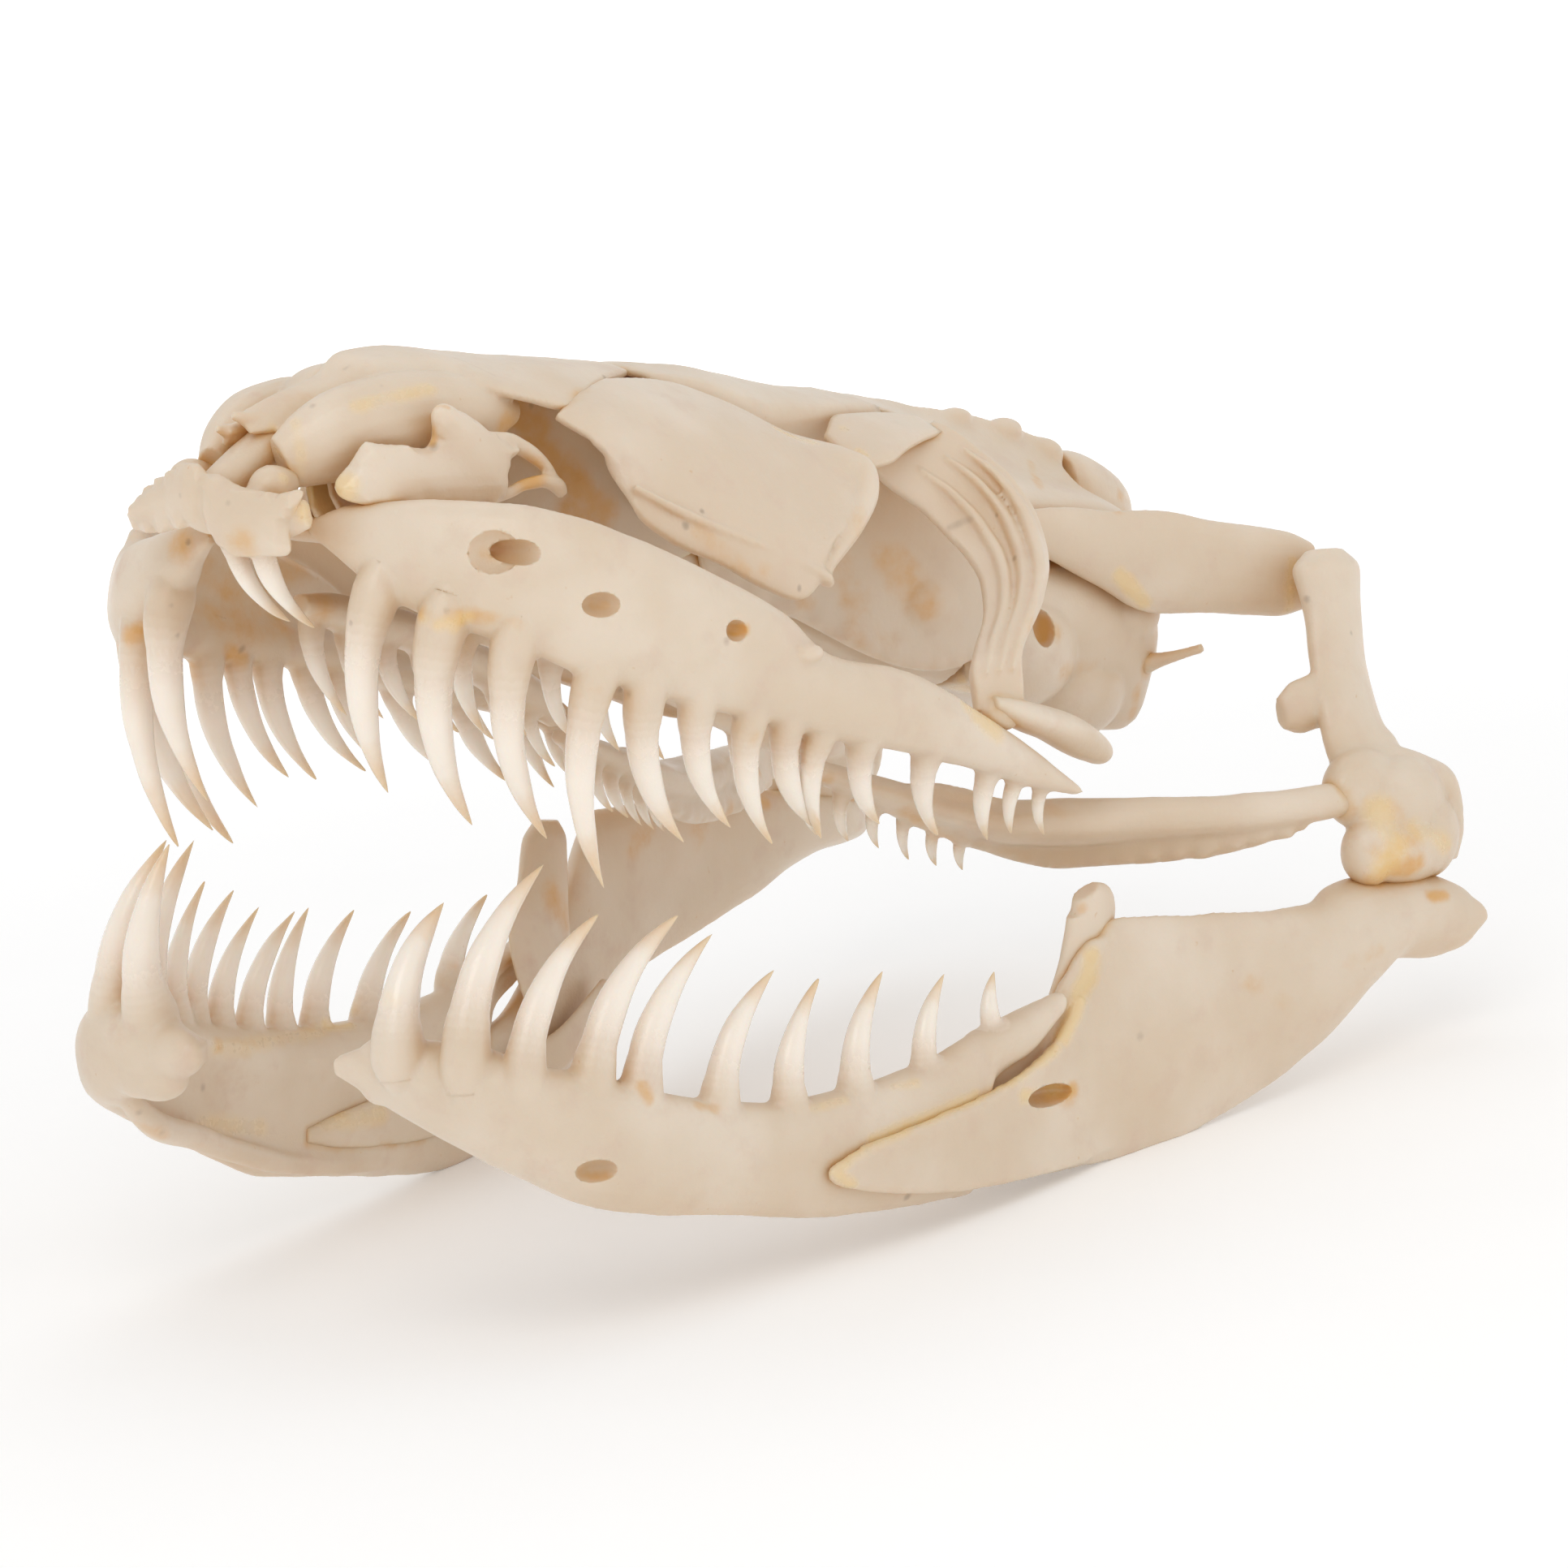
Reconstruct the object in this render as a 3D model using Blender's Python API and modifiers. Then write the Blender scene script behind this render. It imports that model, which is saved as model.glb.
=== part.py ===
"""A reticulated python's skull, cleaned, dried and glued with its jaws open, as faceted bones.

The tables below are in millimetres. In a table x runs from the snout to the nape, out is the distance
from the middle plane and z is the height over the gap between the jaws. The animal's left is at -Y.
"""

import math

import bmesh
import bpy
import numpy as np
from mathutils import Matrix, Vector

MM = 0.001
LEFT, RIGHT = -1, 1
SIDES = {"left": LEFT, "right": RIGHT}

# The tables are level with the horizon of the view that they were read from. Turning the skull by these two
# angles, about Y and then X, sets it down steadily on the lower edges of both jaws, with its snout a little
# raised, and the shift puts the origin under its middle.
SNOUT_LIFT = math.radians(7.8)
LEVEL_TURN = math.radians(2.5)
STAND = (8.38, -0.63, 35.27)

# Clear space left where one bone meets another, and how far it may grow at a sharp corner.
JOINT_GAP = 0.35
SHARPEST_SHELL = 1.5
WELD = 0.03
FLAT_ANGLE = math.radians(3.0)

# Sections of the long jaw bones: depth from the outer face and height from the lower edge, as fractions.
MAXILLA_SECTION = (
    (0.55, 1.0), (0.22, 0.9), (0.03, 0.62), (0.0, 0.32), (0.2, 0.05),
    (0.55, 0.0), (0.9, 0.06), (1.0, 0.24), (0.72, 0.5), (0.78, 0.88),
)
DENTARY_SECTION = (
    (0.3, 0.98), (0.06, 0.8), (0.0, 0.5), (0.12, 0.16), (0.45, 0.0),
    (0.8, 0.1), (0.78, 0.34), (0.8, 0.56), (1.0, 0.82), (0.75, 1.0),
)
COMPOUND_SECTION = (
    (0.5, 1.0), (0.2, 0.9), (0.02, 0.6), (0.05, 0.28), (0.35, 0.03),
    (0.6, 0.0), (0.85, 0.2), (0.92, 0.5), (0.85, 0.8), (0.7, 0.97),
)

# x, out, upper edge, lower edge, thickness
MAXILLA = (
    (-68.6, 6.8, 30.1, 28.8, 1.2),
    (-67.9, 10.2, 31.4, 26.2, 3.2),
    (-66.6, 14.6, 31.9, 23.2, 4.6),
    (-64.2, 19.6, 32.0, 21.2, 5.0),
    (-60.8, 24.2, 31.8, 19.5, 5.0),
    (-56.0, 27.8, 30.6, 17.2, 5.0),
    (-49.0, 30.2, 28.2, 15.0, 5.0),
    (-41.0, 31.2, 24.9, 12.9, 5.0),
    (-33.0, 31.7, 21.1, 10.9, 5.0),
    (-27.0, 31.9, 16.8, 9.2, 4.6),
    (-16.5, 32.0, 14.4, 7.0, 4.4),
    (-8.0, 32.0, 10.5, 4.9, 4.0),
    (0.0, 31.9, 6.0, 2.4, 3.2),
    (6.2, 31.5, 1.9, 1.1, 1.2),
)
DENTARY = (
    (-68.2, 8.8, -16.4, -18.0, 1.6),
    (-67.8, 12.0, -15.2, -19.9, 5.0),
    (-66.8, 17.0, -14.8, -22.2, 6.0),
    (-64.6, 22.2, -15.0, -24.6, 6.0),
    (-60.8, 26.4, -16.6, -26.8, 6.0),
    (-55.0, 29.2, -17.8, -29.3, 6.0),
    (-48.0, 30.9, -19.9, -30.7, 5.6),
    (-40.0, 31.9, -21.7, -31.7, 5.4),
    (-33.0, 32.6, -22.6, -32.9, 5.2),
    (-25.0, 33.2, -22.4, -33.7, 5.0),
    (-17.0, 33.7, -21.4, -33.9, 4.6),
    (-10.6, 34.0, -19.6, -33.8, 4.2),
    (-9.0, 34.1, -19.0, -24.2, 4.2),
    (-3.4, 34.4, -17.6, -21.6, 3.4),
    (0.6, 34.5, -16.2, -18.2, 1.6),
)
COMPOUND = (
    (-30.2, 33.0, -28.6, -29.6, 1.2),
    (-25.0, 33.4, -27.4, -31.0, 3.0),
    (-18.0, 33.8, -26.1, -32.3, 4.0),
    (-9.0, 34.2, -24.7, -33.2, 4.6),
    (-2.7, 34.5, -22.2, -33.2, 4.6),
    (3.4, 35.1, -16.6, -33.0, 4.2),
    (8.0, 35.6, -10.4, -32.8, 4.0),
    (16.8, 36.8, -11.0, -31.7, 4.0),
    (23.4, 37.8, -11.4, -29.8, 4.2),
    (29.2, 38.7, -11.7, -27.7, 4.8),
    (33.9, 39.5, -11.7, -25.7, 5.8),
    (37.5, 40.1, -10.4, -24.1, 7.6),
    (41.7, 40.7, -10.1, -20.9, 8.6),
    (46.3, 41.3, -10.1, -18.3, 9.0),
    (50.6, 41.9, -10.4, -18.6, 8.0),
    (53.6, 42.2, -11.8, -17.6, 6.0),
    (55.4, 42.2, -13.4, -15.6, 2.6),
)

# The right half of this skull was glued a little differently, so its jaws have their own stations.
RIGHT_MAXILLA = (
    (-67.2, 7.0, 28.2, 27.0, 1.2),
    (-67.7, 10.6, 28.6, 23.4, 3.2),
    (-67.7, 14.6, 27.6, 20.2, 4.6),
    (-66.7, 19.4, 26.6, 18.0, 5.0),
    (-63.7, 24.0, 25.6, 16.0, 5.0),
    (-59.4, 28.0, 26.0, 15.0, 5.0),
    (-51.0, 30.4, 26.0, 14.0, 5.0),
    (-41.0, 31.2, 23.8, 12.6, 5.0),
    (-33.0, 31.7, 20.4, 11.4, 5.0),
    (-27.0, 31.9, 16.6, 9.6, 4.6),
    (-16.5, 32.0, 14.4, 7.0, 4.4),
    (-8.0, 32.0, 10.5, 4.9, 4.0),
    (0.0, 31.9, 6.0, 2.4, 3.2),
    (6.2, 31.5, 1.9, 1.1, 1.2),
)
RIGHT_DENTARY = (
    (-66.0, 9.4, -17.4, -19.4, 2.0),
    (-68.4, 12.8, -15.8, -21.4, 5.0),
    (-69.6, 17.4, -14.8, -22.8, 6.5),
    (-69.0, 22.0, -14.6, -24.2, 7.0),
    (-66.4, 26.2, -15.8, -25.4, 7.0),
    (-61.4, 29.0, -17.4, -27.2, 6.6),
    (-55.0, 30.2, -18.6, -29.6, 6.0),
    (-48.0, 31.2, -20.4, -33.0, 5.6),
    (-42.0, 31.8, -21.6, -35.6, 5.4),
    (-33.0, 32.6, -22.6, -37.0, 5.2),
    (-24.0, 33.2, -22.8, -38.4, 5.0),
    (-16.0, 33.6, -21.6, -39.2, 4.6),
    (-10.0, 34.0, -20.2, -38.4, 4.2),
    (-8.0, 34.1, -19.4, -24.6, 4.0),
    (-3.4, 34.4, -18.2, -21.8, 3.2),
    (0.4, 34.6, -16.6, -18.4, 1.6),
)
RIGHT_COMPOUND = (
    (-28.0, 33.1, -31.0, -32.2, 1.2),
    (-22.0, 33.5, -29.8, -34.4, 3.0),
    (-14.0, 33.8, -27.8, -37.4, 4.0),
    (-6.0, 34.3, -25.0, -37.8, 4.6),
    (-2.0, 34.6, -21.4, -37.2, 5.0),
    (4.0, 35.1, -14.0, -32.4, 4.2),
    (8.6, 35.6, -6.4, -25.6, 4.0),
    (18.0, 37.0, -6.6, -22.9, 4.0),
    (28.0, 38.5, -7.1, -20.4, 4.6),
    (35.0, 39.6, -7.4, -18.4, 5.6),
    (42.0, 40.7, -8.2, -15.4, 7.4),
    (47.0, 41.3, -8.8, -14.4, 8.4),
    (51.0, 41.9, -9.6, -14.4, 7.6),
    (54.0, 42.2, -10.8, -14.0, 5.4),
    (55.4, 42.2, -12.0, -13.4, 2.4),
)

# Teeth, x, out, z of the base and of the tip, and the width of the base
MAXILLARY_TEETH = (
    (-66.2, 13.0, 24.2, -62.7, 10.5, 6.3, 4.4),
    (-63.7, 18.4, 21.8, -57.9, 15.9, 3.5, 4.6),
    (-59.7, 23.0, 20.0, -53.4, 20.5, 2.3, 4.2),
    (-53.3, 26.6, 17.0, -50.0, 24.1, -2.1, 4.0),
    (-48.8, 28.0, 15.6, -41.4, 25.5, 1.2, 4.0),
    (-43.0, 28.8, 14.4, -36.2, 26.3, 2.0, 3.6),
    (-36.7, 29.2, 12.4, -31.2, 26.7, 0.1, 3.4),
    (-32.2, 29.4, 11.6, -25.6, 26.9, 0.9, 3.4),
    (-27.9, 29.5, 10.0, -25.0, 27.0, -0.1, 3.2),
    (-22.4, 29.7, 9.0, -17.4, 27.2, 0.5, 3.2),
    (-13.6, 29.7, 7.2, -9.4, 27.2, -1.3, 3.0),
    (-4.8, 29.7, 4.8, -2.8, 27.6, -2.5, 2.6),
    (-0.9, 29.8, 3.8, 0.3, 27.8, -2.1, 2.2),
    (2.4, 29.9, 2.8, 4.6, 28.2, -2.7, 2.0),
)
DENTARY_TEETH = (
    (-66.5, 15.4, -15.8, -59.9, 14.4, -3.2, 5.0),
    (-63.8, 20.8, -16.2, -53.1, 19.8, -0.1, 4.6),
    (-60.3, 24.3, -18.0, -50.0, 23.3, -4.5, 4.2),
    (-54.3, 26.6, -19.2, -42.3, 25.6, -5.2, 4.4),
    (-49.8, 28.1, -20.6, -39.5, 27.1, -7.0, 4.2),
    (-41.0, 29.3, -22.6, -32.8, 28.3, -10.9, 4.0),
    (-32.6, 30.2, -23.8, -27.9, 29.2, -12.2, 3.8),
    (-24.3, 30.7, -23.6, -19.8, 29.7, -12.4, 3.8),
    (-15.5, 31.3, -22.6, -12.0, 30.3, -13.5, 3.2),
    (-6.6, 31.9, -20.0, -5.7, 30.9, -14.0, 2.8),
)
RIGHT_MAXILLARY_TEETH = (
    (-66.2, 13.0, 21.8, -63.4, 11.5, 3.6, 4.4),
    (-64.1, 18.4, 20.2, -62.6, 16.4, -0.9, 4.2),
    (-61.2, 22.6, 18.2, -54.5, 20.6, -0.7, 4.4),
    (-55.4, 26.2, 16.8, -48.3, 24.6, -2.9, 4.2),
    (-48.5, 27.4, 15.8, -43.8, 26.0, -0.2, 3.8),
    (-44.5, 27.8, 15.2, -39.5, 26.4, 2.2, 3.4),
    (-40.4, 28.2, 14.4, -35.6, 26.8, 1.6, 3.4),
    (-35.4, 28.6, 13.4, -28.8, 27.2, 1.7, 3.2),
    (-30.8, 29.0, 12.2, -26.6, 27.4, 2.3, 3.0),
    (-22.4, 29.7, 9.4, -17.4, 27.2, 0.5, 3.2),
    (-13.6, 29.7, 7.4, -9.4, 27.2, -1.3, 3.0),
    (-4.8, 29.7, 4.8, -2.8, 27.6, -2.5, 2.6),
    (-0.9, 29.8, 3.8, 0.3, 27.8, -2.1, 2.2),
    (2.4, 29.9, 2.8, 4.6, 28.2, -2.7, 2.0),
)
RIGHT_DENTARY_TEETH = (
    (-66.6, 15.8, -16.0, -65.3, 14.6, -0.3, 5.0),
    (-66.0, 21.2, -16.4, -61.6, 19.0, -0.7, 5.0),
    (-57.4, 25.4, -18.8, -54.2, 23.4, -1.9, 4.0),
    (-53.0, 27.0, -20.0, -50.6, 26.0, -6.4, 3.4),
    (-50.2, 28.0, -20.8, -45.7, 27.4, -7.9, 3.4),
    (-46.4, 28.6, -21.8, -41.9, 28.0, -9.9, 3.4),
    (-42.3, 29.2, -22.8, -36.8, 28.6, -11.0, 3.4),
    (-37.2, 29.8, -23.6, -34.6, 29.0, -10.9, 3.4),
    (-32.8, 30.2, -23.8, -28.3, 29.4, -11.9, 3.4),
    (-25.6, 30.8, -23.8, -20.3, 29.9, -13.0, 3.4),
    (-13.4, 31.6, -21.4, -9.2, 30.6, -12.7, 3.2),
)
PALATINE_TEETH = (
    (-52.4, 9.6, 18.8, -49.0, 8.6, 10.2, 2.6),
    (-47.6, 10.0, 17.8, -44.0, 9.0, 9.4, 2.6),
    (-42.4, 10.6, 16.6, -38.6, 9.6, 8.6, 2.5),
    (-37.0, 11.2, 15.0, -33.4, 10.2, 7.2, 2.4),
    (-31.6, 11.8, 13.2, -28.2, 10.8, 6.0, 2.3),
    (-26.2, 12.6, 10.8, -23.2, 11.6, 4.4, 2.2),
    (-21.0, 13.4, 8.2, -18.4, 12.4, 2.4, 2.1),
)
PTERYGOID_TEETH = (
    (-13.2, 15.0, 2.4, -11.2, 14.2, -2.4, 1.9),
    (-9.6, 15.8, 1.2, -7.8, 15.0, -3.2, 1.8),
    (-6.2, 16.8, 0.0, -4.6, 16.0, -4.2, 1.8),
    (-3.0, 17.8, -1.2, -1.6, 17.0, -5.4, 1.7),
    (0.0, 18.8, -2.4, 1.2, 18.0, -6.2, 1.6),
    (2.8, 19.8, -3.4, 3.8, 19.0, -6.8, 1.5),
)
PREMAXILLARY_TEETH = (
    (-73.4, 2.4, 29.8, -66.6, 2.6, 20.9, 2.6),
    (-73.0, 5.6, 30.0, -66.6, 5.6, 20.6, 2.8),
)

# Bars: x, out, z, width across and height
PREMAXILLA_BAR = (
    (-71.6, -10.2, 31.0, 2.0, 4.2),
    (-72.2, -7.0, 30.3, 3.2, 6.0),
    (-73.2, -3.0, 30.6, 4.0, 6.6),
    (-73.9, 0.0, 30.8, 4.4, 6.4),
    (-73.9, 3.0, 31.6, 4.0, 5.8),
    (-73.6, 6.6, 31.0, 3.2, 4.6),
    (-73.4, 9.8, 30.0, 2.0, 2.4),
)
PREMAXILLA_RISE = (
    (-72.8, 0.0, 31.4, 4.4, 4.0),
    (-71.4, 0.0, 34.2, 3.6, 3.6),
    (-69.6, 0.0, 36.0, 2.6, 2.8),
    (-67.6, 0.0, 37.2, 1.6, 2.0),
)
NOSTRIL_BALL = (
    (-72.6, 4.6, 31.8, 3.6, 3.6),
    (-71.0, 5.0, 33.2, 5.2, 5.0),
    (-68.6, 5.0, 33.2, 3.2, 3.2),
)
NASAL_CAPSULE = (
    (-66.8, 3.4, 36.8, 2.4, 3.0),
    (-64.2, 4.8, 37.2, 5.0, 5.6),
    (-60.6, 5.8, 37.8, 6.8, 7.2),
    (-56.0, 6.8, 38.6, 7.4, 7.2),
    (-50.8, 7.4, 39.4, 6.2, 5.6),
    (-47.0, 7.8, 39.8, 3.4, 3.0),
)
VOMER = (
    (-69.4, 3.2, 29.4, 2.4, 1.8),
    (-65.0, 4.6, 28.8, 5.0, 2.4),
    (-58.0, 5.2, 28.2, 5.6, 3.0),
    (-50.0, 4.4, 27.4, 4.0, 3.2),
    (-43.0, 3.6, 26.8, 2.2, 2.2),
)
PALATINE = (
    (-54.6, 9.0, 20.6, 2.6, 2.4),
    (-48.0, 10.0, 19.2, 4.4, 3.6),
    (-38.0, 11.2, 16.6, 5.0, 3.8),
    (-28.0, 12.4, 12.6, 5.0, 3.8),
    (-20.0, 13.6, 8.8, 4.4, 3.4),
    (-16.4, 14.2, 6.8, 2.6, 2.4),
)
PTERYGOID = (
    (-15.2, 14.6, 4.2, 3.4, 2.6),
    (-9.0, 16.2, 1.9, 6.0, 3.6),
    (-1.0, 18.8, -0.8, 8.4, 4.6),
    (7.0, 22.0, -3.0, 9.4, 6.2),
    (14.0, 24.6, -3.4, 8.6, 6.8),
    (19.3, 26.8, -3.5, 5.6, 6.4),
    (26.9, 30.6, -3.5, 4.4, 5.6),
    (35.4, 34.0, -3.2, 4.2, 5.4),
    (41.2, 35.6, -2.8, 3.6, 4.8),
)
ECTOPTERYGOID = (
    (-5.0, 29.6, 10.6, 2.6, 1.4),
    (-2.4, 29.8, 9.6, 4.4, 2.6),
    (3.0, 29.4, 8.0, 4.8, 3.2),
    (9.0, 28.2, 6.0, 4.6, 3.6),
    (13.6, 27.0, 4.2, 3.6, 2.8),
    (15.6, 26.2, 3.4, 1.6, 1.4),
)
SUPRATEMPORAL = (
    (18.4, 13.6, 24.0, 1.6, 3.4),
    (24.0, 14.4, 22.8, 2.8, 6.0),
    (30.0, 15.0, 21.2, 3.4, 8.0),
    (36.0, 16.2, 19.6, 3.8, 10.6),
    (42.0, 18.8, 18.8, 4.2, 9.4),
    (48.0, 21.6, 18.0, 4.8, 9.0),
    (51.0, 23.2, 17.6, 4.0, 6.8),
)
QUADRATE = (
    (48.4, 27.0, 20.6, 4.6, 3.2),
    (48.3, 27.4, 18.6, 9.6, 4.8),
    (47.9, 28.4, 14.7, 8.2, 4.2),
    (46.6, 30.4, 9.1, 8.8, 3.6),
    (45.8, 33.0, 3.2, 9.6, 3.8),
    (46.8, 35.0, -0.4, 11.6, 4.4),
    (47.8, 37.4, -3.4, 16.6, 5.8),
    (47.4, 38.8, -6.2, 17.0, 6.8),
    (46.8, 39.4, -8.9, 15.4, 6.6),
)
QUADRATE_KNOB = (
    (44.0, 30.6, 6.9, 3.4, 5.6),
    (41.1, 29.8, 6.1, 3.2, 5.6),
    (38.9, 29.2, 5.6, 2.0, 3.4),
)
STAPES = (
    (38.4, 12.6, 9.2, 2.4, 2.4),
    (39.4, 15.0, 9.9, 1.2, 1.2),
    (40.4, 18.4, 11.0, 0.9, 0.9),
)
CORONOID_BONE = (
    (5.8, 32.2, -7.7, 3.4, 2.2),
    (6.6, 32.2, -9.6, 6.8, 2.8),
    (6.0, 32.0, -13.4, 6.4, 2.6),
    (5.0, 31.4, -18.0, 7.2, 2.2),
    (2.4, 30.4, -23.4, 8.0, 1.8),
)
RIGHT_CORONOID = (
    (0.6, 32.0, -6.4, 3.0, 2.0),
    (0.4, 32.0, -8.4, 6.0, 2.8),
    (-1.0, 31.0, -13.0, 7.6, 2.4),
    (-3.0, 29.4, -18.0, 9.6, 2.0),
    (-4.6, 28.2, -25.0, 8.6, 1.6),
)
SPLENIAL = (
    (-41.0, 25.4, -29.6, 1.4, 1.6),
    (-34.0, 26.4, -29.8, 1.8, 4.0),
    (-24.0, 27.2, -29.6, 1.8, 6.0),
    (-15.0, 28.0, -29.4, 1.8, 6.4),
    (-9.6, 28.4, -29.4, 1.6, 4.4),
)
RIGHT_SPLENIAL = (
    (-36.0, 26.4, -32.4, 1.4, 1.6),
    (-30.0, 26.8, -32.6, 1.8, 4.0),
    (-22.0, 27.4, -32.6, 1.8, 5.6),
    (-14.0, 28.0, -32.0, 1.8, 6.0),
    (-9.6, 28.4, -31.2, 1.6, 4.4),
)
ANGULAR = (
    (-8.4, 28.4, -29.6, 1.4, 4.0),
    (0.0, 28.8, -29.8, 1.6, 4.4),
    (10.0, 29.8, -29.8, 1.4, 2.8),
)
RIGHT_ANGULAR = (
    (-8.4, 28.6, -31.0, 1.4, 4.0),
    (-1.0, 28.8, -28.8, 1.6, 4.2),
    (7.0, 29.8, -23.6, 1.4, 2.8),
)

# Sheets: rows of x, out, z from the roof's middle outwards or from an upper edge downwards
NASAL_ROOF = (
    (
        (-70.8, 0.3, 38.7), (-66.4, 0.3, 40.0), (-61.6, 0.3, 41.4), (-58.4, 0.3, 43.4),
        (-54.0, 0.3, 43.7), (-46.0, 0.3, 42.8), (-38.0, 0.3, 42.0), (-31.0, 0.3, 41.3), (-25.4, 0.3, 40.8),
    ),
    (
        (-70.6, 0.9, 38.2), (-66.4, 2.0, 39.2), (-61.4, 3.0, 40.8), (-58.0, 4.2, 42.6),
        (-53.0, 5.4, 42.8), (-46.0, 6.4, 41.8), (-39.0, 6.2, 41.5), (-32.0, 4.8, 41.0), (-25.6, 2.4, 40.7),
    ),
    (
        (-70.2, 1.7, 37.2), (-66.4, 3.6, 37.4), (-61.0, 5.6, 38.8), (-57.4, 7.6, 40.6),
        (-52.0, 9.4, 40.6), (-46.4, 11.6, 39.4), (-42.4, 12.8, 38.6), (-34.0, 8.8, 40.1), (-26.2, 4.6, 40.4),
    ),
)
SEPTOMAXILLA = (
    (
        (-67.6, 8.6, 33.4), (-65.4, 10.0, 35.8), (-61.2, 11.0, 36.4), (-58.3, 12.4, 39.6),
        (-55.2, 13.0, 38.4), (-51.4, 13.3, 36.4), (-48.4, 13.8, 34.4),
    ),
    (
        (-67.2, 9.4, 32.6), (-65.0, 11.2, 33.8), (-61.4, 12.2, 34.2), (-58.2, 13.0, 35.4),
        (-55.0, 13.8, 34.8), (-51.4, 14.2, 33.9), (-48.2, 14.4, 33.2),
    ),
    (
        (-66.6, 9.2, 31.6), (-64.6, 10.4, 31.6), (-61.4, 11.2, 31.5), (-58.0, 12.0, 31.3),
        (-54.6, 12.8, 31.2), (-51.0, 13.4, 31.3), (-47.8, 14.2, 31.6),
    ),
)
SEPTOMAXILLA_PRONG = (
    (-49.4, 14.0, 32.8, 1.8, 2.6),
    (-47.2, 14.6, 32.0, 1.4, 1.8),
    (-45.4, 15.0, 31.4, 0.9, 1.0),
)
PREFRONTAL = (
    (
        (-44.6, 13.2, 37.9), (-38.4, 10.6, 39.7), (-33.0, 9.2, 40.3), (-25.9, 9.2, 39.6),
        (-19.5, 11.0, 37.3), (-14.7, 13.6, 34.6), (-11.4, 17.4, 33.4),
    ),
    (
        (-44.3, 14.0, 37.3), (-40.5, 14.4, 37.9), (-35.0, 14.6, 37.9), (-28.5, 15.4, 36.8),
        (-21.5, 16.4, 34.9), (-15.5, 17.9, 32.9), (-11.3, 20.0, 32.4),
    ),
    (
        (-43.0, 15.6, 36.0), (-41.2, 17.4, 35.2), (-36.2, 19.2, 34.0), (-29.5, 20.4, 32.6),
        (-22.5, 20.8, 30.9), (-17.0, 21.2, 29.7), (-12.4, 21.2, 29.0),
    ),
    (
        (-42.2, 16.8, 35.0), (-41.6, 19.4, 32.4), (-38.0, 22.0, 29.5), (-32.4, 24.0, 27.4),
        (-26.6, 24.6, 25.7), (-22.4, 24.2, 24.9), (-20.4, 23.6, 25.4),
    ),
    (
        (-42.0, 18.2, 33.6), (-42.4, 21.6, 29.8), (-40.4, 23.6, 27.4), (-35.0, 25.2, 24.8),
        (-30.0, 26.0, 22.4), (-26.0, 26.0, 21.2), (-22.2, 25.0, 22.4),
    ),
)
FRONTAL = (
    (
        (-25.0, 0.3, 40.7), (-18.5, 0.3, 40.4), (-11.9, 0.3, 39.5), (-3.0, 0.3, 37.6), (3.4, 0.3, 37.1),
    ),
    (
        (-25.4, 3.6, 40.5), (-18.5, 4.8, 39.8), (-11.9, 5.8, 38.3), (-3.0, 5.8, 37.0), (3.2, 5.6, 36.6),
    ),
    (
        (-25.6, 6.8, 40.0), (-18.8, 8.4, 38.2), (-13.0, 10.2, 35.9), (-5.0, 10.0, 35.8), (2.6, 9.6, 35.6),
    ),
    (
        (-24.0, 6.0, 35.0), (-18.0, 7.4, 33.6), (-12.0, 8.6, 31.8), (-5.0, 8.4, 31.4), (1.6, 8.0, 31.2),
    ),
    (
        (-23.0, 3.4, 28.2), (-17.0, 4.0, 27.4), (-11.0, 4.8, 26.6), (-4.6, 5.8, 25.4), (0.8, 6.4, 24.6),
    ),
)
SUPRAORBITAL = (
    ((-9.6, 13.6, 34.6), (-5.0, 11.2, 36.2), (0.0, 11.2, 36.1), (4.8, 12.6, 35.4)),
    ((-10.8, 16.8, 33.4), (-6.4, 15.6, 34.4), (-1.4, 14.6, 34.9), (4.8, 14.0, 34.9)),
    ((-11.2, 20.0, 32.2), (-7.2, 19.4, 32.5), (-1.8, 17.4, 33.6), (4.8, 15.4, 34.3)),
)
POSTORBITAL = (
    (
        (5.6, 13.6, 35.0), (7.8, 17.0, 33.2), (8.3, 20.4, 30.2), (7.3, 23.6, 26.4), (5.8, 26.4, 21.8),
        (2.8, 28.2, 18.4), (-0.9, 29.6, 15.0), (-2.4, 30.2, 11.2),
    ),
    (
        (3.4, 15.0, 34.4), (4.6, 17.8, 32.2), (5.4, 20.8, 28.9), (4.8, 23.6, 25.0), (3.2, 26.0, 20.8),
        (0.6, 27.8, 17.4), (-2.4, 29.2, 14.2), (-4.0, 30.0, 11.4),
    ),
    (
        (0.8, 14.4, 33.4), (1.8, 16.2, 30.6), (2.6, 18.6, 27.0), (2.2, 21.6, 23.2), (0.4, 24.0, 20.0),
        (-2.4, 26.4, 16.8), (-5.0, 28.0, 13.8), (-6.4, 29.0, 11.6),
    ),
)

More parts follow.
